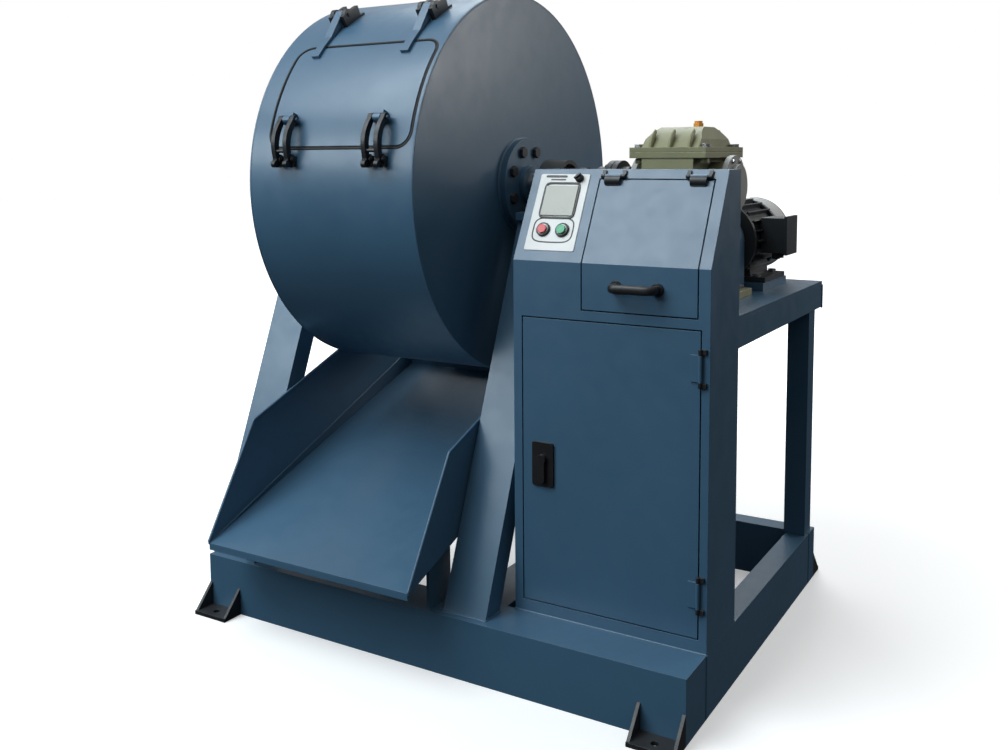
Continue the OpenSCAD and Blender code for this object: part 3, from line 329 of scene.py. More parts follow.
# %% The finishes
blue_enamel = finish("blue enamel", (0.048, 0.120, 0.200), 0.40, drift=0.05, dust=0.02,
                     edge=0.22, edge_colour=(0.16, 0.27, 0.36), coat=0.40, grain=0.10)
black_enamel = finish("black enamel", (0.018, 0.02, 0.023), 0.38, drift=0.25, dust=0.04,
                      edge=0.30, edge_colour=(0.20, 0.21, 0.22))
black_casting = finish("black casting", (0.022, 0.024, 0.027), 0.50, drift=0.25, dust=0.06,
                       edge=0.25, edge_colour=(0.16, 0.16, 0.17), grain=0.5, pits=2.0)
olive_casting = finish("olive casting", (0.235, 0.235, 0.125), 0.48, drift=0.16, dust=0.12,
                       edge=0.8, edge_colour=(0.62, 0.62, 0.45), edge_radius=0.003,
                       grain=0.45, pits=2.5, grime=0.35)
grey_casting = finish("grey casting", (0.30, 0.305, 0.29), 0.46, drift=0.15, edge=0.5,
                      edge_colour=(0.62, 0.62, 0.60), grain=0.45, pits=2.5, grime=0.4)
motor_casting = finish("motor casting", (0.024, 0.029, 0.036), 0.44, drift=0.2, dust=0.08,
                       edge=0.45, edge_colour=(0.16, 0.17, 0.19), grain=0.4, pits=2.0)
cowl_sheet = finish("cowl sheet", (0.50, 0.50, 0.49), 0.42, drift=0.08, dust=0.06, edge=0.3)
bright_steel = finish("machined steel", (0.50, 0.51, 0.53), 0.30, metallic=1.0, drift=0.1,
                      dust=0.03, edge=0.3, grain=0.25, grain_scale=260.0,
                      streak=(0.05, 1.0, 1.0), grime=0.2)
bronze_metal = finish("bronze", (0.62, 0.42, 0.17), 0.34, metallic=1.0, dust=0.0, grain=0.2)
copper_winding = finish("winding", (0.42, 0.20, 0.10), 0.45, metallic=0.6, dust=0.0,
                        grain=0.8, grain_scale=300.0, streak=(1.0, 0.05, 1.0))
seal_rubber = finish("seal rubber", (0.012, 0.012, 0.013), 0.75, drift=0.3, edge=0.0,
                     grain=0.5, grain_scale=900.0)
white_panel = finish("white panel", (0.72, 0.73, 0.72), 0.35, drift=0.04, dust=0.05,
                     edge=0.2, grime=0.10)
window_grey = finish("window grey", (0.36, 0.37, 0.32), 0.22, drift=0.08, dust=0.02, edge=0.0)
black_plastic = finish("black plastic", (0.012, 0.012, 0.014), 0.36, drift=0.2, dust=0.05,
                       edge=0.2, edge_colour=(0.10, 0.10, 0.11), grain=0.35, grain_scale=1100.0)
red_plastic = finish("red plastic", (0.62, 0.035, 0.04), 0.28, drift=0.08, dust=0.03, edge=0.1)
green_plastic = finish("green plastic", (0.02, 0.36, 0.16), 0.28, drift=0.08, dust=0.03,
                       edge=0.1)
orange_plastic = finish("orange plastic", (0.80, 0.33, 0.05), 0.38, drift=0.08, edge=0.2)
case_plastic = finish("switchgear plastic", (0.20, 0.205, 0.21), 0.42, drift=0.2, edge=0.2)
ink = finish("panel ink", (0.03, 0.03, 0.035), 0.45, drift=0.2, dust=0.03, edge=0.0)

# %% [markdown]
# Each solid already names the finish it should have, as a material slot in the record. One
# table from slot to finish paints them all, so a solid is never left in its plain colour.

# %% Paint the solids
finish_of_slot = {
    "blue_paint": blue_enamel, "black_paint": black_enamel, "cast_black": black_casting,
    "steel": bright_steel, "olive_casting": olive_casting, "grey_casting": grey_casting,
    "motor_casting": motor_casting, "cowl_sheet": cowl_sheet, "bronze": bronze_metal,
    "copper": copper_winding, "seal_rubber": seal_rubber, "plate_white": white_panel,
    "display_grey": window_grey, "black_plastic": black_plastic, "red_plastic": red_plastic,
    "green_plastic": green_plastic, "orange_plastic": orange_plastic,
    "switchgear_mix": case_plastic,
}
for part in frame["record"]["subparts"]:
    solid = nodes[part["node"]]
    solid.data.materials.clear()
    solid.data.materials.append(finish_of_slot[part["material_slot"]])
print("painted", sum(len(s.data.materials) for s in nodes.values()), "solids")

# %% [markdown]
# ## Surfaces from arrays
# New pieces are grids of points: one direction runs along the piece and the other around it.
# A grid becomes quads by joining each point to its neighbours, so a helper that does this
# once serves weld beads, handles, rings and knobs alike.

# %% Grid helpers
def corners(name):
    """Lowest and highest corner of a solid, as arrays."""
    low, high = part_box(name)
    return np.array(low), np.array(high)


def points_of(name):
    """All the points of a solid's mesh, one row each."""
    mesh = nodes[name].data
    flat = np.empty(len(mesh.vertices) * 3)
    mesh.vertices.foreach_get("co", flat)
    return flat.reshape(-1, 3)


def quads(along, around, first=0, loop=False):
    """Quads that join a grid of `along` x `around` points, closed around, and along if loop."""
    i = np.arange(along if loop else along - 1)[:, None]
    j = np.arange(around)[None, :]
    after, beside = (i + 1) % along, (j + 1) % around
    cells = [i * around + j, after * around + j, after * around + beside, i * around + beside]
    return np.stack([c.reshape(-1) for c in cells], 1) + first


def tube_faces(along, around, first=0, loop=False):
    """The quads of a tube and, if it is not a loop, one face over each end."""
    faces = quads(along, around, first, loop).tolist()
    if not loop:
        ring = np.arange(around) + first
        faces.append(ring.tolist())
        faces.append((ring + (along - 1) * around)[::-1].tolist())
    return faces


def piece(name, points, faces, body, slot, material, sharp=40):
    """A mesh object at the origin that rides a body, smooth except at edges over `sharp`."""
    mesh = bpy.data.meshes.new(name)
    mesh.from_pydata(np.asarray(points).reshape(-1, 3).tolist(), [], faces)
    shell = bmesh.new()
    shell.from_mesh(mesh)
    bmesh.ops.recalc_face_normals(shell, faces=shell.faces)
    shell.to_mesh(mesh)
    shell.free()
    mesh.materials.append(material)
    mesh.shade_smooth()
    mesh.set_sharp_from_angle(angle=math.radians(sharp))
    thing = bpy.data.objects.new(name, mesh)
    scene.collection.objects.link(thing)
    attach(thing, body)
    print(name, len(points), "points", [round(v * 1000) for v in thing.dimensions], "mm")
    return thing


# %% Sweeping a section along a path
def even_path(stops, step, loop=False):
    """Points every `step` along straight stretches: each coordinate against the length run."""
    stops = np.asarray(stops, float)
    if loop:
        stops = np.vstack([stops, stops[:1]])
    run = np.concatenate([[0], np.cumsum(np.linalg.norm(np.diff(stops, axis=0), axis=1))])
    at = np.linspace(0, run[-1], max(4, int(run[-1] / step)), endpoint=not loop)
    return np.stack([np.interp(at, run, stops[:, k]) for k in range(3)], 1)


def sweep(path, section, lean=(0, 0, 1), loop=False):
    """Carries a flat section (across, up) along a path: at each point the section stands on
    the plane across the path, its `up` as near to `lean` as that plane allows."""
    path, section = np.asarray(path, float), np.asarray(section, float)
    ahead = np.roll(path, -1, 0) - np.roll(path, 1, 0) if loop else np.gradient(path, axis=0)
    ahead /= np.linalg.norm(ahead, axis=1)[:, None]
    across = np.cross(ahead, np.asarray(lean, float))
    across /= np.linalg.norm(across, axis=1)[:, None]
    up = np.cross(across, ahead)
    if section.ndim == 2:
        section = np.broadcast_to(section, (len(path), *section.shape))
    return (path[:, None, :] + section[:, :, :1] * across[:, None, :]
            + section[:, :, 1:] * up[:, None, :])


def oval(width, height, sides, power=2.0):
    """A superellipse: cosine and sine raised to 2/power, keeping their signs."""
    angle = np.linspace(0, 2 * np.pi, sides, endpoint=False)
    wide, tall = np.cos(angle), np.sin(angle)
    return np.stack([width / 2 * np.sign(wide) * np.abs(wide) ** (2 / power),
                     height / 2 * np.sign(tall) * np.abs(tall) ** (2 / power)], 1)


def circle_path(centre, radius, count, axis="x"):
    """A circle about an axis through `centre`: cosine and sine in the other two directions."""
    angle = np.linspace(0, 2 * np.pi, count, endpoint=False)
    ring = np.zeros((count, 3))
    first, second = {"x": (1, 2), "y": (2, 0), "z": (0, 1)}[axis]
    ring[:, first], ring[:, second] = radius * np.cos(angle), radius * np.sin(angle)
    return ring + np.asarray(centre, float)


# %% [markdown]
# ## Weld beads
# The frame is welded from tube and plate, and each joint has a bead with a scale for every
# puddle of the arc. A bead is a thin tube half sunk in the corner. Its radius swells and
# pinches along its length, by the absolute sine of the distance run.

# %% Beads
def bead(path, radius, lean=(0, 0, 1), loop=False, pitch=0.0045, sides=6):
    """Points of a rippled tube: radius times (0.85 + 0.25 |sin(pi s / pitch)|) at distance s."""
    path = np.asarray(path, float)
    step = np.linalg.norm(np.diff(path, axis=0), axis=1)
    run = np.concatenate([[0], np.cumsum(step)])
    swell = 0.85 + 0.25 * np.abs(np.sin(np.pi * run / pitch))
    section = oval(2 * radius, 2 * radius, sides)
    return sweep(path, section[None] * swell[:, None, None], lean, loop)


def bead_piece(name, runs, body, radius=0.0035):
    """Joins several painted beads into one piece; each run is (stops, lean, loop)."""
    points, faces, first = [], [], 0
    for stops, lean, loop in runs:
        grid = bead(even_path(stops, 0.0016, loop), radius, lean, loop)
        faces += tube_faces(len(grid), grid.shape[1], first, loop)
        points.append(grid.reshape(-1, 3))
        first += grid.shape[0] * grid.shape[1]
    piece(name, np.vstack(points), faces, body, "blue_paint", blue_enamel, sharp=80)


# %% Beads round the trestle legs
def level_rectangles(name, z):
    """The corner loops at height z of a front and a rear leg: the points at that height, split
    at their middle in y."""
    cloud = points_of(name)
    level = cloud[np.abs(cloud[:, 2] - z) < 0.0006]
    x0, x1 = level[:, 0].min(), level[:, 0].max()
    y = np.unique(np.round(level[:, 1], 4))
    middle = (y[0] + y[-1]) / 2
    for side in (y[y < middle], y[y > middle]):
        yield [(x0, side[0], z), (x1, side[0], z), (x1, side[-1], z), (x0, side[-1], z)]


leg_runs = []
for legs in ("left_legs", "right_legs"):
    leg_low, leg_high = corners(legs)
    for height in (leg_low[2], leg_high[2]):
        leg_runs += [(loop, (0, 0, 1), True) for loop in level_rectangles(legs, height)]
bead_piece("leg_welds", leg_runs, "root")


# %% Beads along the console, the base and the table
shell_low, shell_high = corners("cabinet_shell")
beam_low, beam_high = corners("front_beam")
rear_low, rear_high = corners("rear_beam")
apron_low, apron_high = corners("table_frame")
base_top = beam_high[2]
inset, foot_height, seam_start, seam_length = 0.0005, 0.004, 0.004, 0.06
apron_foot, apron_head = apron_high[2] - 0.070, apron_high[2] - 0.002
upward, backward = (0, 0, 1), (0, 1, 0)
frame_runs = [([(shell_low[0], shell_high[1], base_top), (shell_low[0], shell_low[1], base_top),
                (shell_high[0], shell_low[1], base_top)], upward, False)]
for x, y in ((beam_high[0] - inset, beam_high[1]), (beam_low[0] + inset, beam_high[1]),
             (rear_high[0] - inset, rear_low[1]), (rear_low[0] + inset, rear_low[1])):
    frame_runs.append(([(x, y, foot_height), (x, y, base_top)], backward, False))
for end_x, side, y in ((beam_low[0], 1, beam_high[1]), (beam_high[0], -1, rear_low[1])):
    frame_runs.append(([(end_x + side * seam_length, y, base_top),
                        (end_x + side * seam_start, y, base_top)], upward, False))
for x in (apron_low[0], apron_high[0]):
    frame_runs.append(([(x, apron_high[1], apron_foot), (x, apron_high[1], apron_head)],
                       backward, False))
bead_piece("frame_welds", frame_runs, "root", 0.003)

# %% [markdown]
# ## Drum seams
# The drum is a rolled shell between two flat ends. Each rim has a continuous bead that was
# ground nearly flush, so it reads as a softened, slightly uneven edge. The hubs are welded on
# with a heavier bead.

# %% Drum rims and hubs
end_low, end_high = corners("drum_ends")
hub_low, hub_high = corners("hub_flanges")
drum_centre = (end_low + end_high) / 2
axle_y, axle_z = drum_centre[1:]
drum_radius = (end_high[2] - end_low[2]) / 2
hub_radius = (hub_high[2] - hub_low[2]) / 2
rim_inset, rim_sunk = 0.003, 0.0026


def round_run(x, radius, count):
    """A run for `bead_piece` round the drum's axle, at x."""
    return circle_path((x, axle_y, axle_z), radius, count), (1, 0, 0), True


bead_piece("rim_welds", [round_run(x, drum_radius - rim_sunk, 1200)
                         for x in (end_low[0] + rim_inset, end_high[0] - rim_inset)],
           "drum", 0.0036)
bead_piece("hub_welds", [round_run(x, hub_radius, 400) for x in (end_low[0], end_high[0])],
           "drum", 0.005)

# %% [markdown]
# ## Hemmed chute walls
# Thin sheet is never left with a raw edge where hands reach. The upper edge of each wall is
# folded into a narrow round hem, and this hem catches the light as a fine line. The floor is
# welded to both walls with a bead in each inside corner.

# %% Hems and floor seams
wall_points = points_of("chute_walls")
floor_points = points_of("chute_floor")
outline = np.unique(np.round(wall_points[:, 1:], 4), axis=0)
lip_top = outline[outline[:, 0] < outline[:, 0].min() + 0.001].max(0)
back_top = outline[outline[:, 0] > outline[:, 0].max() - 0.001].max(0)
between = outline[(outline[:, 0] > lip_top[0] + 0.01) & (outline[:, 0] < back_top[0] - 0.01)]
knee = between[between[:, 1].argmax()]
wall_x = np.unique(np.round(wall_points[:, 0], 4))
wall_middles = ((wall_x[0] + wall_x[1]) / 2, (wall_x[-2] + wall_x[-1]) / 2)
hem_points, hem_faces, hem_first = [], [], 0
for x in wall_middles:
    stops = [(x, *lip_top), (x, *knee), (x, *back_top)]
    grid = sweep(even_path(stops, 0.004), oval(0.0075, 0.0075, 10), (1, 0, 0))
    hem_faces += tube_faces(len(grid), 10, hem_first)
    hem_points.append(grid.reshape(-1, 3))
    hem_first += len(hem_points[-1])
piece("chute_hems", np.vstack(hem_points), hem_faces, "root", "blue_paint", blue_enamel)

floor_lip = floor_points[floor_points[:, 1] < floor_points[:, 1].min() + 0.001].max(0)
floor_back = floor_points[floor_points[:, 1] > floor_points[:, 1].max() - 0.001].max(0)
seam_runs = []
for x in (wall_x[1], wall_x[-2]):
    seam_runs.append(([(x, floor_lip[1] + 0.004, floor_lip[2]), (x, floor_back[1] - 0.004,
                      floor_back[2])], (0, 0, 1), False))
bead_piece("chute_welds", seam_runs, "root", 0.0028)

# %% [markdown]
# ## Screws by the dozen
# Covers and castings are held by small hexagon screws. One screw is a short profile turned about
# its axis, and every other screw is that one shifted, so all of them are stamped in a single
# array operation: places plus template.

# %% Turned shapes and stamping
def turned(profile, around=18):
    """A profile of (radius, height) turned about +Z, a flat face over each end ring."""
    profile = np.asarray(profile, float)
    angle = np.linspace(0, 2 * np.pi, around, endpoint=False)
    rings = profile[:, :1, None] * np.stack([np.cos(angle), np.sin(angle)])[None]
    height = np.broadcast_to(profile[:, 1, None], (len(profile), around))
    points = np.stack([rings[:, 0], rings[:, 1], height], 2).reshape(-1, 3)
    faces = quads(len(profile), around).tolist()
    ring = np.arange(around)
    faces.append(ring[::-1].tolist())
    faces.append((ring + (len(profile) - 1) * around).tolist())
    return points, faces


def stamp(points, faces, places, axis):
    """Copies of a shape that stands on +Z, each at a place, its +Z turned to `axis`."""
    axis = np.asarray(axis, float) / np.linalg.norm(axis)
    helper = np.array([0, 0, 1.0]) if abs(axis[2]) < 0.9 else np.array([1.0, 0, 0])
    side = np.cross(helper, axis)
    side /= np.linalg.norm(side)
    turn = np.stack([side, np.cross(axis, side), axis])
    places = np.asarray(places, float)
    moved = (points @ turn)[None] + places[:, None, :]
    count = len(points)
    copied = [[index + k * count for index in face] for k in range(len(places)) for face in faces]
    return moved.reshape(-1, 3), copied


def joined(parts):
    """Several (points, faces) as one."""
    points, faces, first = [], [], 0
    for part_points, part_faces in parts:
        points.append(part_points)
        faces += [[index + first for index in face] for face in part_faces]
        first += len(part_points)
    return np.vstack(points), faces


def screw_head(size):
    """A hexagon head with a chamfered top on a round washer, for a screw of this size."""
    washer = turned([(1.05 * size, 0), (1.05 * size, 0.14 * size), (0.98 * size, 0.18 * size)], 20)
    head = turned([(0.9 * size, 0.17 * size), (0.9 * size, 0.72 * size),
                   (0.78 * size, 0.82 * size)], 6)
    return joined([washer, head])


# %% Cover screws on the reducer
gear_low, gear_high = corners("gearbox_side_covers")
house_low, house_high = corners("gearbox_housing")
drive_x = (house_low[0] + house_high[0]) / 2
worm_low, worm_high = corners("worm_shaft")
worm_z = (worm_low[2] + worm_high[2]) / 2


def ring_of(centre, radius, count, axis):
    """Evenly spaced places on a circle, the first of them half a step round."""
    return circle_path(centre, radius, 2 * count, axis)[1::2]


side_ring, end_ring, screw_seat = 0.066, 0.048, 0.012
side_screws = [stamp(*screw_head(0.006), ring_of((x, axle_y, axle_z), side_ring, 8, "x"),
                     (way, 0, 0))
               for x, way in ((gear_high[0] - screw_seat, 1), (gear_low[0] + screw_seat, -1))]
end_screws = [stamp(*screw_head(0.005), ring_of((drive_x, y, worm_z), end_ring, 6, "y"),
                    (0, way, 0))
              for y, way in ((gear_high[1], 1), (gear_low[1], -1))]
piece("cover_screws", *joined(side_screws + end_screws), "root", "steel", bright_steel)

# %% [markdown]
# ## Reducer casting
# A cast case has ribs where the load goes through, round lugs for its bolts, an oil-level
# glass and a plug on each side. The ribs are tall thin wedges with rounded ends. Their section
# is a superellipse that shrinks towards the top, carried up the dome.

# %% Ribs, sight glass and plug
cover_bottom = corners("gearbox_cover")[0][2]
flange_top = cover_bottom + 0.012
dome_radius, rib_foot, rib_height, rib_rings = 0.150, 0.004, 0.044, 12


def case_rib(x, y, lean_y):
    """A rib on the cover's flank: a narrow oval that fades as it climbs the dome."""
    climb = np.linspace(0, 1, rib_rings)
    path = np.stack([np.full(rib_rings, x), y + lean_y * climb ** 2,
                     flange_top - rib_foot + rib_height * climb], 1)
    shrink = (1 - 0.55 * climb ** 2)[:, None, None]
    grid = sweep(path, oval(0.011, 0.024, 14, 3)[None] * shrink, (0, 1, 0))
    return grid.reshape(-1, 3), tube_faces(rib_rings, 14)


rib_xs = drive_x + np.array([-0.05, 0.0, 0.05])
dome_reach = math.sqrt(dome_radius ** 2 - (flange_top - axle_z) ** 2)
ribs = [case_rib(x, axle_y + side * (dome_reach - 0.004), -side * 0.026)
        for x in rib_xs for side in (-1, 1)]
piece("case_ribs", *joined(ribs), "root", "olive_casting", olive_casting)
lug_profile = [(0.0125, 0), (0.0125, 0.010), (0.0115, 0.012)]
lug_places = [(drive_x + sx * 0.082, axle_y + sy * 0.105, cover_bottom - 0.027)
              for sx in (-1, 1) for sy in (-1, 1)]
piece("case_lugs", *stamp(*turned(lug_profile, 24), lug_places, (0, 0, 1)), "root",
      "olive_casting", olive_casting)
glass = turned([(0.013, 0), (0.013, 0.006), (0.011, 0.008), (0.009, 0.0085)], 24)
plug = screw_head(0.009)
plug_x, plug_z, plug_reach = drive_x - 0.04, house_low[2] + 0.05, 0.1405
piece("oil_fittings", *joined([
    stamp(*glass, [(house_low[0] + 0.055, axle_y - 0.141, worm_z + 0.075)], (0, -1, 0)),
    stamp(*plug, [(plug_x, axle_y + plug_reach, plug_z)], (0, 1, 0)),
    stamp(*plug, [(plug_x, axle_y - plug_reach, plug_z)], (0, -1, 0))]),
    "root", "steel", bright_steel)

# %% [markdown]
# ## Motor fittings
# A lifting eye stands on top of the motor, and the fan cowl has a rolled rim at each end. All
# are rings: a circle carried round a larger circle.

# %% Lifting eye and cowl rim
motor_low, motor_high = corners("motor_frame")
cowl_low, cowl_high = corners("motor_cowl")
motor_middle = (motor_low[1] + motor_high[1]) / 2
eye_z = motor_high[2] + 0.021
eye_ring = sweep(circle_path((drive_x, motor_middle, eye_z), 0.014, 36, "y"),
                 oval(0.009, 0.009, 12), (0, 1, 0), True)
eye = (eye_ring.reshape(-1, 3), tube_faces(36, 12, 0, True))
collar = stamp(*turned([(0.014, 0), (0.014, 0.004), (0.008, 0.010), (0.006, 0.014)], 20),
               [(drive_x, motor_middle, motor_high[2] - 0.004)], (0, 0, 1))
piece("lifting_eye", *joined([eye, collar]), "root", "motor_casting", motor_casting)
cowl_radius = (cowl_high[0] - cowl_low[0]) / 2
rims = []
for y in (cowl_high[1] - 0.002, cowl_low[1] + 0.004):
    ring = sweep(circle_path((drive_x, y, worm_z), cowl_radius - 0.0006, 96, "y"),
                 oval(0.005, 0.005, 8), (0, 1, 0), True)
    rims.append((ring.reshape(-1, 3), tube_faces(96, 8, 0, True)))
piece("cowl_rims", *joined(rims), "root", "cowl_sheet", cowl_sheet)

# %% [markdown]
# ## Lid handle
# The lid is lifted by a moulded bow. It is thick in the middle, thinner at its two feet and
# round at the bends, so its section is a superellipse whose size changes along a path with
# rounded corners.

# %% Bow handle
def rounded_path(stops, radius, count=10):
    """A path whose corners are rounded. Each becomes a quadratic curve from `radius` before
    it to `radius` after it: (1-t)^2 start + 2t(1-t) corner + t^2 end."""
    stops = np.asarray(stops, float)
    out = [stops[:1]]
    t = np.linspace(0, 1, count)[:, None]
    for before, corner, after in zip(stops[:-2], stops[1:-1], stops[2:]):
        start = corner + (before - corner) / np.linalg.norm(before - corner) * radius
        end = corner + (after - corner) / np.linalg.norm(after - corner) * radius
        out.append((1 - t) ** 2 * start + 2 * t * (1 - t) * corner + t ** 2 * end)
    return np.vstack(out + [stops[-1:]])


grip_low, grip_high = corners("lid_handle")
grip_z = (grip_low[2] + grip_high[2]) / 2
grip_x = (grip_low[0] + grip_high[0]) / 2
face_y = grip_high[1]
foot = (grip_high[0] - grip_low[0]) / 2 - 0.013
grip_y = grip_low[1] + 0.0105
bow = even_path(rounded_path([(grip_x - foot, face_y, grip_z), (grip_x - foot, grip_y, grip_z),
                              (grip_x + foot, grip_y, grip_z), (grip_x + foot, face_y, grip_z)],
                             0.016), 0.002)
middle = 1 - np.abs(np.linspace(-1, 1, len(bow))) ** 3
bow_swell = (0.80 + 0.22 * middle)[:, None, None]
grid = sweep(bow, oval(0.019, 0.021, 24, 2.6)[None] * bow_swell, (0, 0, 1))
bow_shape = (grid.reshape(-1, 3), tube_faces(len(bow), 24))
pad = turned([(0.0150, 0), (0.0150, 0.003), (0.0135, 0.0052)], 32)
pads = stamp(*pad, [(grip_x + s * foot, face_y, grip_z) for s in (-1, 1)], (0, -1, 0))
handle = piece("bow_handle", *joined([bow_shape, pads]), "console_lid", "black_plastic",
               black_plastic)
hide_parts("lid_handle")

# %% [markdown]
# ## The console's slope
# The control plate and the lid lie on a slope. What sits on them is placed by three numbers
# from the middle of the plate: across, up the slope, and out of it. The largest face of the
# plate gives the slope's direction.

# %% The slope's own axes
plate_mesh = nodes["control_plate"].data
areas = np.empty(len(plate_mesh.polygons))
plate_mesh.polygons.foreach_get("area", areas)
slope_out = np.array(plate_mesh.polygons[int(areas.argmax())].normal)
slope_out = slope_out if slope_out[2] > 0 else -slope_out
slope_up = np.cross(slope_out, np.array([-1.0, 0, 0]))
slope_up = slope_up if slope_up[2] > 0 else -slope_up
plate_low, plate_high = corners("control_plate")
plate_points = points_of("control_plate")
heights = plate_points @ slope_out
levels = np.unique(np.round(heights, 5))
face_height = levels[levels < levels.max() - 0.004].max()
ups = plate_points @ slope_up
plate_up = (ups.min() + ups.max()) / 2
plate_x = (plate_low[0] + plate_high[0]) / 2
print("slope out", slope_out.round(3), "up", slope_up.round(3), "face", round(face_height, 4))


def on_plate(across, up, rise=0.0):
    """Places on the control plate, from its middle: across, up the slope and out of it."""
    across, up = np.asarray(across, float), np.asarray(up, float)
    return (np.stack([plate_x + across, 0 * across, 0 * across], -1)
            + (plate_up + up)[..., None] * slope_up
            + (face_height + rise) * slope_out)


def slope_place(name):
    """Across and up of the middle of a solid, in the control plate's own directions."""
    low, high = corners(name)
    centre = (low + high) / 2
    return centre[0] - plate_x, centre @ slope_up - plate_up


# %% [markdown]
# ## Control plate details
# The plate carries a counter window in a dark frame, a dark line around the two buttons, two
# plain printed bars, a small selector and a black collar round each button. The collars are
# made broad and black so that they also paint the shadow that each button casts on the plate.
# Flat prints are thin plaques: a superellipse outline with a tiny chamfer, so they have a real
# edge that catches light.

# %% Plaques
def plaque(width, height, thick, power=6.0, sides=48):
    """Rings of one superellipse: base, full height and a chamfered top, closed by two caps."""
    outline = oval(width, height, sides, power)
    chamfer = min(thick * 0.4, width / 8, height / 8)
    rings = [(1.0, 1.0, 0.0), (1.0, 1.0, thick - chamfer),
             (1 - 2 * chamfer / width, 1 - 2 * chamfer / height, thick)]
    points = np.vstack([np.column_stack([outline[:, 0] * a, outline[:, 1] * b,
                                         np.full(sides, z)]) for a, b, z in rings])
    faces = quads(3, sides).tolist()
    ring = np.arange(sides)
    return points, faces + [ring[::-1].tolist(), (ring + 2 * sides).tolist()]


def laid(shape, across, up, rise=0.0, turn=0.0):
    """A shape that stands on +Z moved onto the plate's slope, turned about its own axis."""
    points, faces = shape
    c, s = math.cos(turn), math.sin(turn)
    x, y = points[:, 0] * c - points[:, 1] * s, points[:, 0] * s + points[:, 1] * c
    return on_plate(across + x, up + y) + (rise + points[:, 2])[:, None] * slope_out, faces


def slope_loop(across, up, width, height, power, count=96):
    """A superellipse on the slope, as a closed path round (across, up)."""
    outline = oval(width, height, count, power)
    return on_plate(across + outline[:, 0], up + outline[:, 1])


# %% Window frame, outline, bars and selector
window_x, window_up = slope_place("counter_display")
stop_x, button_up = slope_place("stop_button")
start_x = slope_place("start_button")[0]
window_low, window_high = corners("counter_display")
window_wide = window_high[0] - window_low[0]
frame_loop = sweep(slope_loop(window_x, window_up, window_wide + 0.006, window_wide + 0.005, 9),
                   oval(0.0055, 0.005, 8, 4), slope_out, True)
piece("window_frame", frame_loop, tube_faces(96, 8, 0, True), "root", "black_plastic",
      black_plastic)
outline_loop = sweep(slope_loop((stop_x + start_x) / 2, button_up, 0.104, 0.062, 4),
                     oval(0.0034, 0.0012, 8, 4), slope_out, True)
ink_parts = [(outline_loop.reshape(-1, 3), tube_faces(96, 8, 0, True)),
             laid(plaque(0.056, 0.0060, 0.0006), -0.022, window_up + 0.0625),
             laid(plaque(0.040, 0.0035, 0.0006), -0.016, window_up + 0.0540)]
piece("panel_marks", *joined(ink_parts), "root", "black_plastic", ink)
knob = turned([(0.0105, 0), (0.0105, 0.003), (0.0085, 0.005), (0.0080, 0.011),
               (0.0070, 0.013)], 32)
knob_grip = plaque(0.019, 0.0055, 0.018, 3)
knob_x, knob_up, knob_turn = 0.040, window_up + 0.057, 0.7
piece("selector_knob", *joined([laid(knob, knob_x, knob_up),
                                laid(knob_grip, knob_x, knob_up, 0, knob_turn)]),
      "root", "black_plastic", black_plastic)

# %% Button collars, broad and black to paint the buttons' shadows
button_low, button_high = corners("stop_button")
button_radius = (button_high[0] - button_low[0]) / 2
# Each collar is a real black ring that is made broad and dark so it also paints the shadow the
# button casts on the plate.
collar_shadow_width = 2 * button_radius + 0.0074
collar_shadows = []
for x in (stop_x, start_x):
    ring = sweep(slope_loop(x, button_up, collar_shadow_width, collar_shadow_width, 2, 48),
                 oval(0.0062, 0.0120, 10, 3), slope_out, True)
    collar_shadows.append((ring.reshape(-1, 3), tube_faces(48, 10, 0, True)))
piece("button_collar_shadows", *joined(collar_shadows), "root", "black_plastic", black_plastic)

# %% [markdown]
# ## Lid hinges
# The lid hangs on two small butt hinges. Each has a sleeve over its barrel and a dark leaf on
# the lid, a thin plaque with two low screw heads.

# %% Where the lid's face and its barrels are
lid_cloud = points_of("console_lid")
lid_up, lid_rise = lid_cloud @ slope_up - plate_up, lid_cloud @ slope_out - face_height
lid_face = lid_rise[lid_up < lid_up.max() - 0.05].max()
lid_end = lid_up[lid_rise < lid_face + 0.0005].max()
knuckle = lid_rise > lid_face + 0.002
barrel_up, barrel_x = lid_up[knuckle], lid_cloud[knuckle, 0]
barrel_radius = (barrel_up.max() - barrel_up.min()) / 2
barrel_middle = (barrel_up.max() + barrel_up.min()) / 2
barrel_rise = lid_rise.max() - barrel_radius
barrel_split = (barrel_x.min() + barrel_x.max()) / 2
print("lid face", round(lid_face, 4), "end", round(lid_end, 4), "barrel", round(barrel_radius, 4))

# %% Sleeves and leaves
sleeves, leaves, leaf_screws = [], [], []
for xs in (barrel_x[barrel_x < barrel_split], barrel_x[barrel_x > barrel_split]):
    middle_x, half = (xs.min() + xs.max()) / 2 - plate_x, (xs.max() - xs.min()) / 2
    along = np.linspace(-half + 0.0006, half - 0.0006, 8)
    path = on_plate(middle_x + along, np.full(8, barrel_middle), barrel_rise)
    sleeve_width = 2 * barrel_radius + 0.0016
    sleeves.append((sweep(path, oval(sleeve_width, sleeve_width, 20), slope_out).reshape(-1, 3),
                    tube_faces(8, 20)))
    leaves.append(laid(plaque(2 * half, 0.020, 0.0022, 8), middle_x, lid_end - 0.011,
                       lid_face - 0.0004))
    for shift in (-0.5, 0.5):
        leaf_screws.append(laid(turned([(0.0032, 0), (0.0032, 0.0021), (0.0024, 0.0026)], 16),
                                middle_x + shift * half, lid_end - 0.013, lid_face))
piece("lid_hinge_sleeves", *joined(sleeves), "console_lid", "black_paint", black_enamel)
piece("lid_hinge_leaves", *joined(leaves), "console_lid", "black_paint", black_enamel)
piece("lid_leaf_screws", *joined(leaf_screws), "console_lid", "black_paint", black_enamel)

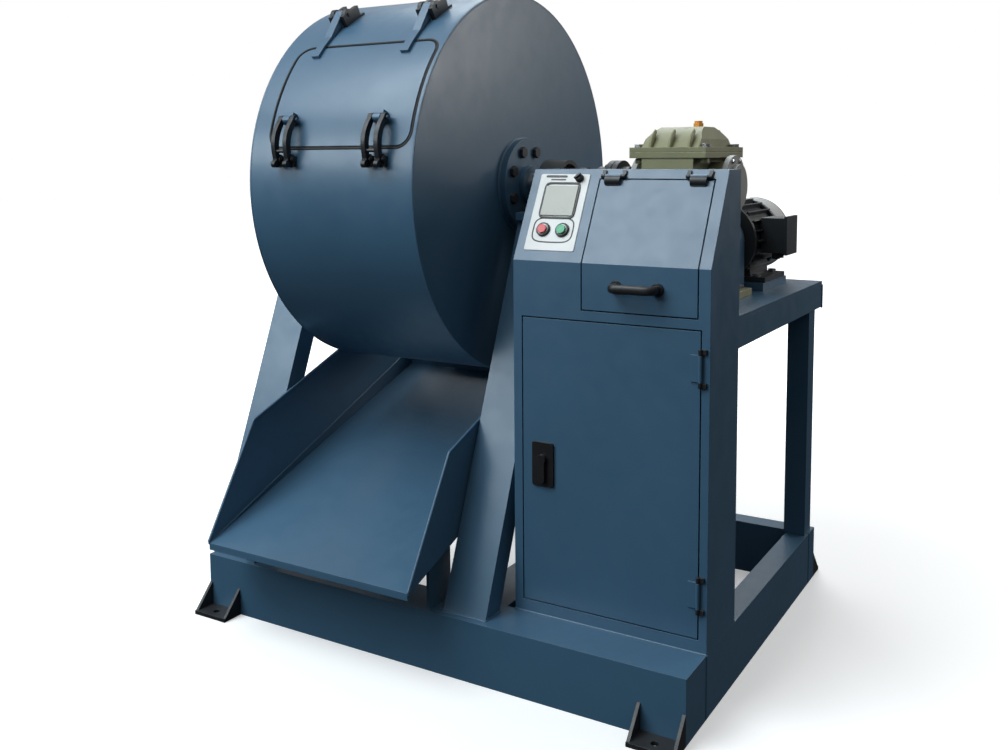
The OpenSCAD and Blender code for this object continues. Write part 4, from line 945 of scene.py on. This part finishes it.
# %% [markdown]
# ## Lip of the hatch seal
# A rubber lip runs round the hatch opening on the drum's side and makes the seam read as a
# broad dark line. The hatch's outline is measured on the unrolled drum, where a point is its x
# and its distance round the drum. A rounded rectangle a little larger is rolled back up.

# %% Rounded rectangle on the drum
def rounded_rectangle(half_x, half_y, radius, step=0.004):
    """Four quarter circles round the inner corners, joined by straight sides and walked once
    round: each point is its corner's centre plus radius times (cosine, sine)."""
    turn = np.linspace(0, np.pi / 2, 12)
    arcs = []
    for k, (sx, sy) in enumerate(((1, 1), (-1, 1), (-1, -1), (1, -1))):
        angle = turn + k * np.pi / 2
        arcs.append(np.stack([sx * (half_x - radius) + radius * np.cos(angle),
                              sy * (half_y - radius) + radius * np.sin(angle),
                              0 * angle], 1))
    return even_path(np.vstack(arcs), step, True)[:, :2]


panel_points = points_of("hatch_panel")
panel_reach = np.hypot(panel_points[:, 1] - axle_y, panel_points[:, 2] - axle_z)
skin = panel_points[np.abs(panel_reach - drum_radius) < 0.0015]
skin_angle = np.arctan2(skin[:, 2] - axle_z, axle_y - skin[:, 1])
unrolled = np.stack([skin[:, 0], skin_angle * drum_radius], 1)
hatch_low, hatch_high = unrolled.min(0), unrolled.max(0)
hatch_middle, hatch_half = (hatch_low + hatch_high) / 2, (hatch_high - hatch_low) / 2
diagonal = (unrolled - hatch_middle).sum(1).max()
corner = (hatch_half.sum() - diagonal) / (2 - math.sqrt(2))
print("hatch half sizes", hatch_half.round(4), "corner", round(corner, 4))
gap = 0.0068
lip_loop = rounded_rectangle(*(hatch_half + gap), corner + gap) + hatch_middle
around_drum = lip_loop[:, 1] / drum_radius
radial = np.stack([0 * around_drum, -np.cos(around_drum), np.sin(around_drum)], 1)
lip_path = np.array([0, axle_y, axle_z]) + radial * (drum_radius + 0.0002)
lip_path[:, 0] = lip_loop[:, 0]
piece("hatch_lip", sweep(lip_path, oval(0.0054, 0.0026, 8), radial, True),
      tube_faces(len(lip_path), 8, 0, True), "drum", "seal_rubber", seal_rubber)
